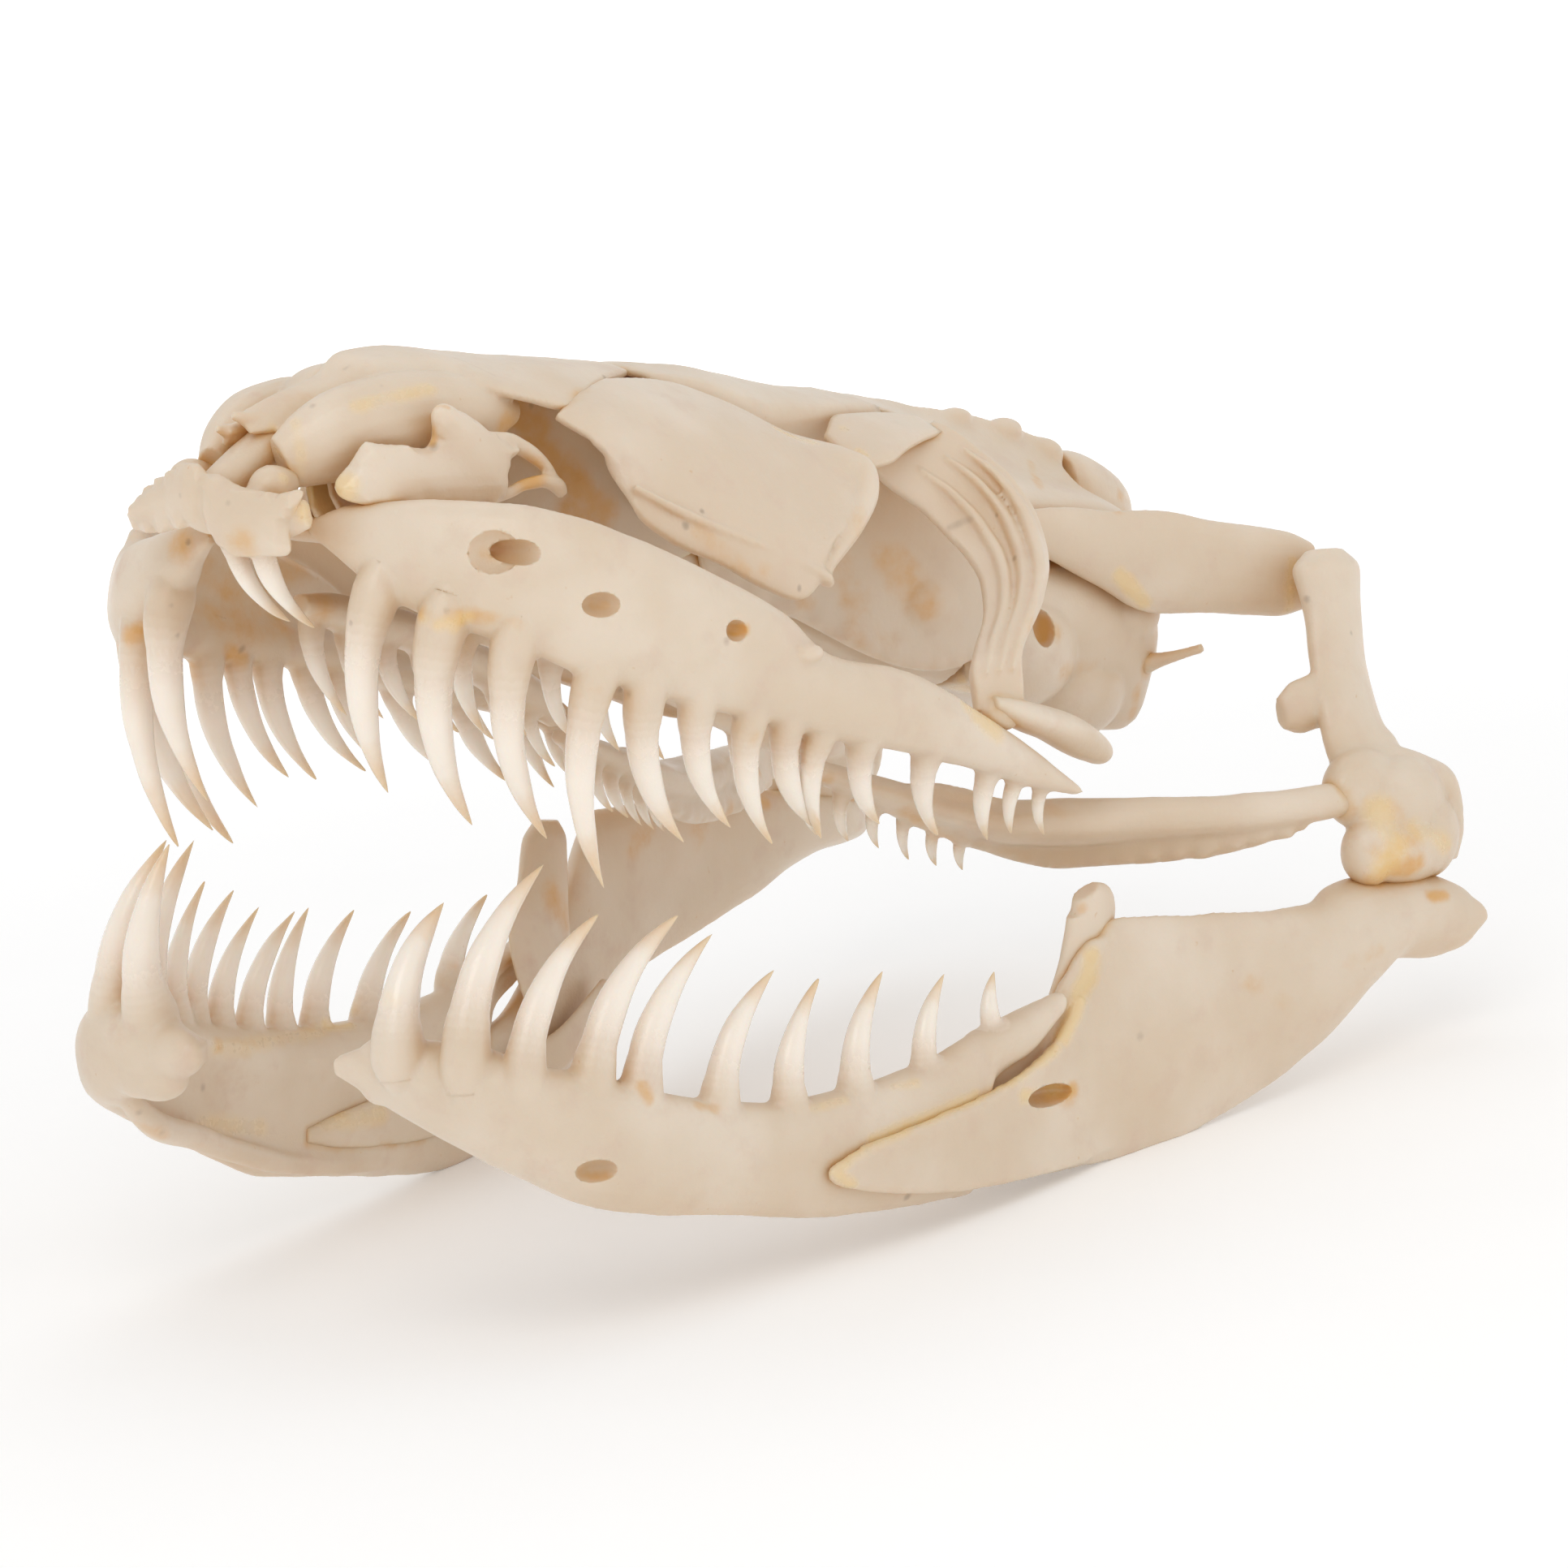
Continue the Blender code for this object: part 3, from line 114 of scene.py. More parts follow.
COMPOUND = (
    (-30.2, 33.0, -28.6, -29.6, 1.2), (-25.0, 33.4, -27.4, -31.0, 3.0), (-18.0, 33.8, -26.1, -32.3, 4.0),
    (-9.0, 34.2, -24.7, -33.2, 4.6), (-2.7, 34.5, -22.2, -33.2, 4.6), (3.4, 35.1, -16.6, -33.0, 4.2),
    (8.0, 35.6, -10.4, -32.8, 4.0), (16.8, 36.8, -11.0, -31.7, 4.0), (23.4, 37.8, -11.4, -29.8, 4.2),
    (29.2, 38.7, -11.7, -27.7, 4.8), (33.9, 39.5, -11.7, -25.7, 5.8), (37.5, 40.1, -10.4, -24.1, 7.6),
    (41.7, 40.7, -10.1, -20.9, 8.6), (46.3, 41.3, -10.1, -18.3, 9.0), (50.6, 41.9, -10.4, -18.6, 8.0),
    (53.6, 42.2, -11.8, -17.6, 6.0), (55.4, 42.2, -13.4, -15.6, 2.6),
)
RIGHT_MAXILLA = (
    (-67.2, 7.0, 28.2, 27.0, 1.2), (-67.7, 10.6, 28.6, 23.4, 3.2), (-67.7, 14.6, 27.6, 20.2, 4.6),
    (-66.7, 19.4, 26.6, 18.0, 5.0), (-63.7, 24.0, 25.6, 16.0, 5.0), (-59.4, 28.0, 26.0, 15.0, 5.0),
    (-51.0, 30.4, 26.0, 14.0, 5.0), (-41.0, 31.2, 23.8, 12.6, 5.0), (-33.0, 31.7, 20.4, 11.4, 5.0),
    (-27.0, 31.9, 16.6, 9.6, 4.6), (-16.5, 32.0, 14.4, 7.0, 4.4), (-8.0, 32.0, 10.5, 4.9, 4.0),
    (0.0, 31.9, 6.0, 2.4, 3.2), (6.2, 31.5, 1.9, 1.1, 1.2),
)
RIGHT_DENTARY = (
    (-66.0, 9.4, -17.4, -19.4, 2.0), (-68.4, 12.8, -15.8, -21.4, 5.0), (-69.6, 17.4, -14.8, -22.8, 6.5),
    (-69.0, 22.0, -14.6, -24.2, 7.0), (-66.4, 26.2, -15.8, -25.4, 7.0), (-61.4, 29.0, -17.4, -27.2, 6.6),
    (-55.0, 30.2, -18.6, -29.6, 6.0), (-48.0, 31.2, -20.4, -33.0, 5.6), (-42.0, 31.8, -21.6, -35.6, 5.4),
    (-33.0, 32.6, -22.6, -37.0, 5.2), (-24.0, 33.2, -22.8, -38.4, 5.0), (-16.0, 33.6, -21.6, -39.2, 4.6),
    (-10.0, 34.0, -20.2, -38.4, 4.2), (-8.0, 34.1, -19.4, -24.6, 4.0), (-3.4, 34.4, -18.2, -21.8, 3.2),
    (0.4, 34.6, -16.6, -18.4, 1.6),
)
RIGHT_COMPOUND = (
    (-28.0, 33.1, -31.0, -32.2, 1.2), (-22.0, 33.5, -29.8, -34.4, 3.0), (-14.0, 33.8, -27.8, -37.4, 4.0),
    (-6.0, 34.3, -25.0, -37.8, 4.6), (-2.0, 34.6, -21.4, -37.2, 5.0), (4.0, 35.1, -14.0, -32.4, 4.2),
    (8.6, 35.6, -6.4, -25.6, 4.0), (18.0, 37.0, -6.6, -22.9, 4.0), (28.0, 38.5, -7.1, -20.4, 4.6),
    (35.0, 39.6, -7.4, -18.4, 5.6), (42.0, 40.7, -8.2, -15.4, 7.4), (47.0, 41.3, -8.8, -14.4, 8.4),
    (51.0, 41.9, -9.6, -14.4, 7.6), (54.0, 42.2, -10.8, -14.0, 5.4), (55.4, 42.2, -12.0, -13.4, 2.4),
)

# Teeth, x, out, z of the base and of the tip, and the width of the base
MAXILLARY_TEETH = (
    (-66.2, 13.0, 24.2, -62.7, 10.5, 6.3, 4.4), (-63.7, 18.4, 21.8, -57.9, 15.9, 3.5, 4.6),
    (-59.7, 23.0, 20.0, -53.4, 20.5, 2.3, 4.2), (-53.3, 26.6, 17.0, -50.0, 24.1, -2.1, 4.0),
    (-48.8, 28.0, 15.6, -41.4, 25.5, 1.2, 4.0), (-43.0, 28.8, 14.4, -36.2, 26.3, 2.0, 3.6),
    (-36.7, 29.2, 12.4, -31.2, 26.7, 0.1, 3.4), (-32.2, 29.4, 11.6, -25.6, 26.9, 0.9, 3.4),
    (-27.9, 29.5, 10.0, -25.0, 27.0, -0.1, 3.2), (-22.4, 29.7, 9.0, -17.4, 27.2, 0.5, 3.2),
    (-13.6, 29.7, 7.2, -9.4, 27.2, -1.3, 3.0), (-4.8, 29.7, 4.8, -2.8, 27.6, -2.5, 2.6),
    (-0.9, 29.8, 3.8, 0.3, 27.8, -2.1, 2.2), (2.4, 29.9, 2.8, 4.6, 28.2, -2.7, 2.0),
)
DENTARY_TEETH = (
    (-66.5, 15.4, -15.8, -59.9, 14.4, -3.2, 5.0), (-63.8, 20.8, -16.2, -53.1, 19.8, -0.1, 4.6),
    (-60.3, 24.3, -18.0, -50.0, 23.3, -4.5, 4.2), (-54.3, 26.6, -19.2, -42.3, 25.6, -5.2, 4.4),
    (-49.8, 28.1, -20.6, -39.5, 27.1, -7.0, 4.2), (-41.0, 29.3, -22.6, -32.8, 28.3, -10.9, 4.0),
    (-32.6, 30.2, -23.8, -27.9, 29.2, -12.2, 3.8), (-24.3, 30.7, -23.6, -19.8, 29.7, -12.4, 3.8),
    (-15.5, 31.3, -22.6, -12.0, 30.3, -13.5, 3.2), (-6.6, 31.9, -20.0, -5.7, 30.9, -14.0, 2.8),
)
RIGHT_MAXILLARY_TEETH = (
    (-66.2, 13.0, 21.8, -63.4, 11.5, 3.6, 4.4), (-64.1, 18.4, 20.2, -62.6, 16.4, -0.9, 4.2),
    (-61.2, 22.6, 18.2, -54.5, 20.6, -0.7, 4.4), (-55.4, 26.2, 16.8, -48.3, 24.6, -2.9, 4.2),
    (-48.5, 27.4, 15.8, -43.8, 26.0, -0.2, 3.8), (-44.5, 27.8, 15.2, -39.5, 26.4, 2.2, 3.4),
    (-40.4, 28.2, 14.4, -35.6, 26.8, 1.6, 3.4), (-35.4, 28.6, 13.4, -28.8, 27.2, 1.7, 3.2),
    (-30.8, 29.0, 12.2, -26.6, 27.4, 2.3, 3.0), (-22.4, 29.7, 9.4, -17.4, 27.2, 0.5, 3.2),
    (-13.6, 29.7, 7.4, -9.4, 27.2, -1.3, 3.0), (-4.8, 29.7, 4.8, -2.8, 27.6, -2.5, 2.6),
    (-0.9, 29.8, 3.8, 0.3, 27.8, -2.1, 2.2), (2.4, 29.9, 2.8, 4.6, 28.2, -2.7, 2.0),
)
RIGHT_DENTARY_TEETH = (
    (-66.6, 15.8, -16.0, -65.3, 14.6, -0.3, 5.0), (-66.0, 21.2, -16.4, -61.6, 19.0, -0.7, 5.0),
    (-57.4, 25.4, -18.8, -54.2, 23.4, -1.9, 4.0), (-53.0, 27.0, -20.0, -50.6, 26.0, -6.4, 3.4),
    (-50.2, 28.0, -20.8, -45.7, 27.4, -7.9, 3.4), (-46.4, 28.6, -21.8, -41.9, 28.0, -9.9, 3.4),
    (-42.3, 29.2, -22.8, -36.8, 28.6, -11.0, 3.4), (-37.2, 29.8, -23.6, -34.6, 29.0, -10.9, 3.4),
    (-32.8, 30.2, -23.8, -28.3, 29.4, -11.9, 3.4), (-25.6, 30.8, -23.8, -20.3, 29.9, -13.0, 3.4),
    (-13.4, 31.6, -21.4, -9.2, 30.6, -12.7, 3.2),
)
PALATINE_TEETH = (
    (-52.4, 9.6, 18.8, -49.0, 8.6, 10.2, 2.6), (-47.6, 10.0, 17.8, -44.0, 9.0, 9.4, 2.6),
    (-42.4, 10.6, 16.6, -38.6, 9.6, 8.6, 2.5), (-37.0, 11.2, 15.0, -33.4, 10.2, 7.2, 2.4),
    (-31.6, 11.8, 13.2, -28.2, 10.8, 6.0, 2.3), (-26.2, 12.6, 10.8, -23.2, 11.6, 4.4, 2.2),
    (-21.0, 13.4, 8.2, -18.4, 12.4, 2.4, 2.1),
)
PTERYGOID_TEETH = (
    (-13.2, 15.0, 2.4, -11.2, 14.2, -2.4, 1.9), (-9.6, 15.8, 1.2, -7.8, 15.0, -3.2, 1.8),
    (-6.2, 16.8, 0.0, -4.6, 16.0, -4.2, 1.8), (-3.0, 17.8, -1.2, -1.6, 17.0, -5.4, 1.7),
    (0.0, 18.8, -2.4, 1.2, 18.0, -6.2, 1.6), (2.8, 19.8, -3.4, 3.8, 19.0, -6.8, 1.5),
)
PREMAXILLARY_TEETH = (
    (-73.4, 2.4, 29.8, -66.6, 2.6, 20.9, 2.6), (-73.0, 5.6, 30.0, -66.6, 5.6, 20.6, 2.8),
)

# Bars: x, out, z, width across and height
PREMAXILLA_BAR = (
    (-71.6, -10.2, 31.0, 2.0, 4.2), (-72.2, -7.0, 30.3, 3.2, 6.0), (-73.2, -3.0, 30.6, 4.0, 6.6),
    (-73.9, 0.0, 30.8, 4.4, 6.4), (-73.9, 3.0, 31.6, 4.0, 5.8), (-73.6, 6.6, 31.0, 3.2, 4.6),
    (-73.4, 9.8, 30.0, 2.0, 2.4),
)
NOSTRIL_BALL = (
    (-72.6, 4.6, 31.8, 3.6, 3.6), (-71.0, 5.0, 33.2, 5.2, 5.0), (-68.6, 5.0, 33.2, 3.2, 3.2),
)
VOMER = (
    (-69.4, 3.2, 29.4, 2.4, 1.8), (-65.0, 4.6, 28.8, 5.0, 2.4), (-58.0, 5.2, 28.2, 5.6, 3.0),
    (-50.0, 4.4, 27.4, 4.0, 3.2), (-43.0, 3.6, 26.8, 2.2, 2.2),
)
PALATINE = (
    (-54.6, 9.0, 20.6, 2.6, 2.4), (-48.0, 10.0, 19.2, 4.4, 3.6), (-38.0, 11.2, 16.6, 5.0, 3.8),
    (-28.0, 12.4, 12.6, 5.0, 3.8), (-20.0, 13.6, 8.8, 4.4, 3.4), (-16.4, 14.2, 6.8, 2.6, 2.4),
)
PTERYGOID = (
    (-15.2, 14.6, 4.2, 3.4, 2.6), (-9.0, 16.2, 1.9, 6.0, 3.6), (-1.0, 18.8, -0.8, 8.4, 4.6),
    (7.0, 22.0, -3.0, 9.4, 6.2), (14.0, 24.6, -3.4, 8.6, 6.8), (19.3, 26.8, -3.5, 5.6, 6.4),
    (26.9, 30.6, -3.5, 4.4, 5.6), (35.4, 34.0, -3.2, 4.2, 5.4), (41.2, 35.6, -2.8, 3.6, 4.8),
)
ECTOPTERYGOID = (
    (-5.0, 29.6, 10.6, 2.6, 1.4), (-2.4, 29.8, 9.6, 4.4, 2.6), (3.0, 29.4, 8.0, 4.8, 3.2),
    (9.0, 28.2, 6.0, 4.6, 3.6), (13.6, 27.0, 4.2, 3.6, 2.8), (15.6, 26.2, 3.4, 1.6, 1.4),
)
SUPRATEMPORAL = (
    (18.4, 13.6, 24.0, 1.6, 3.4), (24.0, 14.4, 22.8, 2.8, 6.0), (30.0, 15.0, 21.2, 3.4, 8.0),
    (36.0, 16.2, 19.6, 3.8, 10.6), (42.0, 18.8, 18.8, 4.2, 9.4), (48.0, 21.6, 18.0, 4.8, 9.0),
    (51.0, 23.2, 17.6, 4.0, 6.8),
)
QUADRATE = (
    (48.4, 27.0, 20.6, 4.6, 3.2), (48.3, 27.4, 18.6, 9.6, 4.8), (47.9, 28.4, 14.7, 8.2, 4.2),
    (46.6, 30.4, 9.1, 8.8, 3.6), (45.8, 33.0, 3.2, 9.6, 3.8), (46.8, 35.0, -0.4, 11.6, 4.4),
    (47.8, 37.4, -3.4, 16.6, 5.8), (47.4, 38.8, -6.2, 17.0, 6.8), (46.8, 39.4, -8.9, 15.4, 6.6),
)
QUADRATE_KNOB = (
    (44.0, 30.6, 6.9, 3.4, 5.6), (41.1, 29.8, 6.1, 3.2, 5.6), (38.9, 29.2, 5.6, 2.0, 3.4),
)
STAPES = (
    (38.4, 12.6, 9.2, 2.4, 2.4), (39.4, 15.0, 9.9, 1.2, 1.2), (40.4, 18.4, 11.0, 0.9, 0.9),
)
CORONOID_BONE = (
    (5.8, 32.2, -7.7, 3.4, 2.2), (6.6, 32.2, -9.6, 6.8, 2.8), (6.0, 32.0, -13.4, 6.4, 2.6),
    (5.0, 31.4, -18.0, 7.2, 2.2), (2.4, 30.4, -23.4, 8.0, 1.8),
)
RIGHT_CORONOID = (
    (0.6, 32.0, -6.4, 3.0, 2.0), (0.4, 32.0, -8.4, 6.0, 2.8), (-1.0, 31.0, -13.0, 7.6, 2.4),
    (-3.0, 29.4, -18.0, 9.6, 2.0), (-4.6, 28.2, -25.0, 8.6, 1.6),
)
SPLENIAL = (
    (-41.0, 25.4, -29.6, 1.4, 1.6), (-34.0, 26.4, -29.8, 1.8, 4.0), (-24.0, 27.2, -29.6, 1.8, 6.0),
    (-15.0, 28.0, -29.4, 1.8, 6.4), (-9.6, 28.4, -29.4, 1.6, 4.4),
)
RIGHT_SPLENIAL = (
    (-36.0, 26.4, -32.4, 1.4, 1.6), (-30.0, 26.8, -32.6, 1.8, 4.0), (-22.0, 27.4, -32.6, 1.8, 5.6),
    (-14.0, 28.0, -32.0, 1.8, 6.0), (-9.6, 28.4, -31.2, 1.6, 4.4),
)
ANGULAR = (
    (-8.4, 28.4, -29.6, 1.4, 4.0), (0.0, 28.8, -29.8, 1.6, 4.4), (10.0, 29.8, -29.8, 1.4, 2.8),
)
RIGHT_ANGULAR = (
    (-8.4, 28.6, -31.0, 1.4, 4.0), (-1.0, 28.8, -28.8, 1.6, 4.2), (7.0, 29.8, -23.6, 1.4, 2.8),
)

# Sheets: rows of x, out, z from the roof's middle outwards or from an upper edge downwards
NASAL_ROOF = (
    (
        (-70.8, 0.3, 38.7), (-66.4, 0.3, 40.0), (-61.6, 0.3, 41.4), (-58.4, 0.3, 43.4), (-54.0, 0.3, 43.7),
        (-46.0, 0.3, 42.8), (-38.0, 0.3, 42.0), (-31.0, 0.3, 41.3), (-25.4, 0.3, 40.8),
    ),
    (
        (-70.6, 0.9, 38.2), (-66.4, 2.0, 39.2), (-61.4, 3.0, 40.8), (-58.0, 4.2, 42.6), (-53.0, 5.4, 42.8),
        (-46.0, 6.4, 41.8), (-39.0, 6.2, 41.5), (-32.0, 4.8, 41.0), (-25.6, 2.4, 40.7),
    ),
    (
        (-70.2, 1.7, 37.2), (-66.4, 3.6, 37.4), (-61.0, 5.6, 38.8), (-57.4, 7.6, 40.6), (-52.0, 9.4, 40.6),
        (-46.4, 11.6, 39.4), (-42.4, 12.8, 38.6), (-34.0, 8.8, 40.1), (-26.2, 4.6, 40.4),
    ),
)
PREFRONTAL = (
    (
        (-44.6, 13.2, 37.9), (-38.4, 10.6, 39.7), (-33.0, 9.2, 40.3), (-25.9, 9.2, 39.6),
        (-19.5, 11.0, 37.3), (-14.7, 13.6, 34.6), (-11.4, 17.4, 33.4),
    ),
    (
        (-44.3, 14.0, 37.3), (-40.5, 14.4, 37.9), (-35.0, 14.6, 37.9), (-28.5, 15.4, 36.8),
        (-21.5, 16.4, 34.9), (-15.5, 17.9, 32.9), (-11.3, 20.0, 32.4),
    ),
    (
        (-43.0, 15.6, 36.0), (-41.2, 17.4, 35.2), (-36.2, 19.2, 34.0), (-29.5, 20.4, 32.6),
        (-22.5, 20.8, 30.9), (-17.0, 21.2, 29.7), (-12.4, 21.2, 29.0),
    ),
    (
        (-42.2, 16.8, 35.0), (-41.6, 19.4, 32.4), (-38.0, 22.0, 29.5), (-32.4, 24.0, 27.4),
        (-26.6, 24.6, 25.7), (-22.4, 24.2, 24.9), (-20.4, 23.6, 25.4),
    ),
    (
        (-42.0, 18.2, 33.6), (-42.4, 21.6, 29.8), (-40.4, 23.6, 27.4), (-35.0, 25.2, 24.8),
        (-30.0, 26.0, 22.4), (-26.0, 26.0, 21.2), (-22.2, 25.0, 22.4),
    ),
)
FRONTAL = (
    ((-25.0, 0.3, 40.7), (-18.5, 0.3, 40.4), (-11.9, 0.3, 39.5), (-3.0, 0.3, 37.6), (3.4, 0.3, 37.1)),
    ((-25.4, 3.6, 40.5), (-18.5, 4.8, 39.8), (-11.9, 5.8, 38.3), (-3.0, 5.8, 37.0), (3.2, 5.6, 36.6)),
    ((-25.6, 6.8, 40.0), (-18.8, 8.4, 38.2), (-13.0, 10.2, 35.9), (-5.0, 10.0, 35.8), (2.6, 9.6, 35.6)),
    ((-24.0, 6.0, 35.0), (-18.0, 7.4, 33.6), (-12.0, 8.6, 31.8), (-5.0, 8.4, 31.4), (1.6, 8.0, 31.2)),
    ((-23.0, 3.4, 28.2), (-17.0, 4.0, 27.4), (-11.0, 4.8, 26.6), (-4.6, 5.8, 25.4), (0.8, 6.4, 24.6)),
)
SUPRAORBITAL = (
    ((-9.6, 13.6, 34.6), (-5.0, 11.2, 36.2), (0.0, 11.2, 36.1), (4.8, 12.6, 35.4)),
    ((-10.8, 16.8, 33.4), (-6.4, 15.6, 34.4), (-1.4, 14.6, 34.9), (4.8, 14.0, 34.9)),
    ((-11.2, 20.0, 32.2), (-7.2, 19.4, 32.5), (-1.8, 17.4, 33.6), (4.8, 15.4, 34.3)),
)

# The braincase's half sections, from the middle of the roof down to the middle of the floor
PARIETAL = (
    (4.2, ((0.0, 37.0), (5.6, 36.5), (12.6, 34.8), (11.8, 31.8), (8.0, 28.6), (7.0, 24.0), (0.0, 23.6))),
    (10.0, ((0.0, 36.4), (3.4, 35.6), (10.6, 32.4), (11.6, 29.2), (9.4, 25.4), (9.0, 21.6), (0.0, 21.2))),
    (18.0, ((0.0, 35.1), (1.8, 33.8), (6.8, 30.2), (11.2, 27.4), (12.0, 24.6), (11.6, 21.0), (0.0, 20.4))),
    (26.0, ((0.0, 33.9), (1.4, 32.2), (5.8, 29.0), (11.4, 26.2), (12.2, 23.8), (11.8, 20.8), (0.0, 20.4))),
    (33.0, ((0.0, 32.3), (1.3, 30.6), (5.2, 27.6), (10.8, 25.4), (12.2, 23.2), (11.6, 20.8), (0.0, 20.4))),
    (38.6, ((0.0, 30.6), (1.2, 29.0), (4.6, 26.2), (9.6, 24.2), (11.2, 22.4), (10.6, 20.8), (0.0, 20.4))),
)
OTIC_BLOCK = (
    (17.6, ((0.0, 20.0), (8.0, 20.0), (11.6, 19.6), (12.2, 16.4), (11.4, 12.4), (8.2, 9.2), (0.0, 7.8))),
    (25.0, ((0.0, 20.0), (8.0, 20.0), (12.4, 19.6), (13.6, 15.4), (12.8, 10.6), (9.0, 6.4), (0.0, 5.4))),
    (32.0, ((0.0, 20.0), (8.0, 20.0), (12.2, 19.4), (14.0, 14.8), (13.2, 9.0), (9.8, 4.2), (0.0, 3.8))),
    (38.0, ((0.0, 20.0), (7.0, 20.0), (11.6, 18.6), (13.8, 13.6), (13.0, 7.8), (10.2, 2.6), (0.0, 3.0))),
    (42.0, ((0.0, 20.0), (5.0, 20.0), (9.0, 18.0), (11.4, 13.0), (10.6, 7.6), (7.6, 4.0), (0.0, 5.4))),
    (45.4, ((0.0, 20.0), (3.0, 19.6), (5.0, 17.4), (6.0, 13.4), (5.2, 10.0), (3.4, 8.2), (0.0, 8.0))),
)
OCCIPUT_KNOB = (
    (39.6, 0.0, 25.0, 7.0, 9.2), (41.2, 0.0, 24.8, 8.8, 9.4), (46.0, 0.0, 22.8, 8.0, 9.2),
    (49.4, 0.0, 20.4, 4.2, 5.4),
)
CONDYLE = (
    (43.0, 0.0, 10.6, 5.6, 5.2), (47.0, 0.0, 10.2, 5.0, 4.6), (49.4, 0.0, 10.0, 2.6, 2.4),
)
BRAINCASE_FLOOR = (
    (-46.0, 0.0, 25.6, 1.8, 1.8), (-32.0, 0.0, 24.8, 3.0, 2.8), (-14.0, 0.0, 22.4, 5.4, 4.4),
    (-2.0, 0.0, 18.6, 10.0, 8.6), (8.0, 0.0, 14.6, 17.0, 11.2), (17.2, 0.0, 12.8, 19.0, 11.6),
)
BRAIN_CAVITY = (
    (-2.0, 0.0, 29.0, 6.0, 5.0), (3.0, 0.0, 27.5, 10.0, 7.0), (9.0, 0.0, 25.0, 14.0, 12.0),
    (16.0, 0.0, 21.5, 17.6, 17.0), (26.0, 0.0, 18.6, 20.0, 19.4), (34.0, 0.0, 17.2, 18.6, 17.4),
    (40.0, 0.0, 16.4, 11.0, 10.0), (44.0, 0.0, 16.2, 6.0, 5.2), (53.0, 0.0, 16.2, 6.4, 5.6),
)

RIGHT_NASAL_DROP = 1.2
RIGHT_SEPTOMAXILLA_BACK = 4.0

# Openings: middle point and half sizes along the bone, across it and up
MAXILLA_OPENINGS = (
    ((-54.9, 29.0, 23.2), (1.7, 1.8, 1.0)), ((-40.6, 31.8, 20.1), (1.3, 1.8, 0.9)),
)
DENTARY_OPENING = ((-56.1, 29.4, -25.6), (2.0, 1.8, 1.0))
COMPOUND_OPENING = ((-2.4, 35.0, -25.4), (3.0, 2.0, 0.9))
EAR_OPENING = ((21.4, 14.2, 14.2), (1.4, 2.2, 1.9))

# Outlines picked in the photograph. Those of the premaxilla's wings have only their pixels, and each
# wing lies in an upright plane through two points of the plan, x and out. The septomaxilla's wall has its
# pixels and how far out each point lies.
NEAR_WING = (
    (256, 590), (262, 640), (274, 665), (290, 681), (341, 685), (359, 679), (357, 645), (375, 604),
    (345, 610), (300, 600), (275, 585),
)
FAR_WING = (
    (163, 629), (183, 653), (239, 645), (270, 640), (262, 592), (239, 573), (199, 598),
)
NEAR_WING_PLANE = ((-74.4, 0.0), (-72.4, 11.0))
FAR_WING_PLANE = ((-74.4, 0.0), (-71.6, 10.6))
# The far wing ends just past the middle plane
FAR_WING_LEAST = (-74.4, -1.0, 0.0)
SEPTOMAXILLA_WALL = (
    (413, 594, 9.5), (430, 572, 10.0), (448, 546, 10.6), (464, 547, 11.0), (500, 552, 11.6),
    (524, 553, 12.0), (533, 536, 12.4), (531, 510, 12.8), (540, 499, 12.8), (552, 501, 12.8),
    (575, 513, 13.0), (610, 542, 13.4), (638, 550, 13.8), (622, 572, 14.0), (616, 610, 14.2),
    (580, 624, 13.6), (539, 626, 13.0), (456, 622, 11.4), (420, 613, 10.0),
)

# Details that only the dressed skull has, as outlines and bars of x, out, z (and width and height)
PREMAXILLA_PILLAR = (
    (-73.4, 0.3, 31.2, 4.4, 4.4), (-72.6, 0.4, 32.6, 4.2, 3.8), (-70.2, 0.6, 34.4, 4.4, 3.6),
    (-67.7, 1.0, 36.2, 4.4, 3.6), (-65.6, 1.4, 38.0, 3.8, 3.4), (-63.0, 1.8, 39.2, 2.6, 2.6),
)
NASAL_SPUR = (
    (-64.6, 1.8, 37.8, 3.2, 3.4), (-67.5, 1.4, 38.0, 2.4, 2.8), (-69.6, 1.2, 38.4, 1.4, 1.8),
    (-71.7, 1.0, 38.9, 0.6, 0.7),
)
CAPSULE_SWELLING = (
    (-69.0, 4.2, 34.8, 3.2, 5.0), (-66.0, 5.4, 36.2, 5.6, 7.4), (-62.2, 6.4, 37.4, 7.4, 8.8),
    (-57.4, 7.2, 38.0, 8.0, 9.0), (-52.4, 7.8, 38.2, 7.2, 8.0), (-48.0, 8.2, 38.2, 4.8, 5.4),
    (-45.0, 8.4, 38.2, 2.4, 2.4),
)
NASAL_WALL = (
    (-60.0, 1.2, 38.0), (-45.0, 1.2, 40.0), (-30.0, 1.4, 39.4), (-22.0, 1.8, 38.0), (-14.0, 2.4, 30.0),
    (-14.0, 2.4, 23.6), (-28.0, 1.6, 21.6), (-42.0, 1.2, 23.0), (-58.0, 1.2, 28.0),
)
UPPER_PRONG = (
    (-53.6, 13.1, 36.2, 1.6, 1.8), (-51.0, 13.4, 36.1, 1.5, 1.8), (-49.0, 13.6, 35.4, 1.2, 1.6),
    (-46.5, 14.0, 33.6, 0.9, 1.3), (-45.1, 14.4, 31.2, 0.5, 0.6),
)
LOWER_PRONG = (
    (-54.0, 14.0, 31.5, 1.3, 1.6), (-51.5, 14.1, 31.7, 1.1, 1.3), (-49.5, 14.2, 32.3, 1.0, 1.2),
    (-47.5, 14.4, 32.5, 1.0, 1.2), (-45.7, 14.5, 32.0, 1.3, 1.5), (-45.0, 14.5, 31.2, 0.9, 1.1),
)
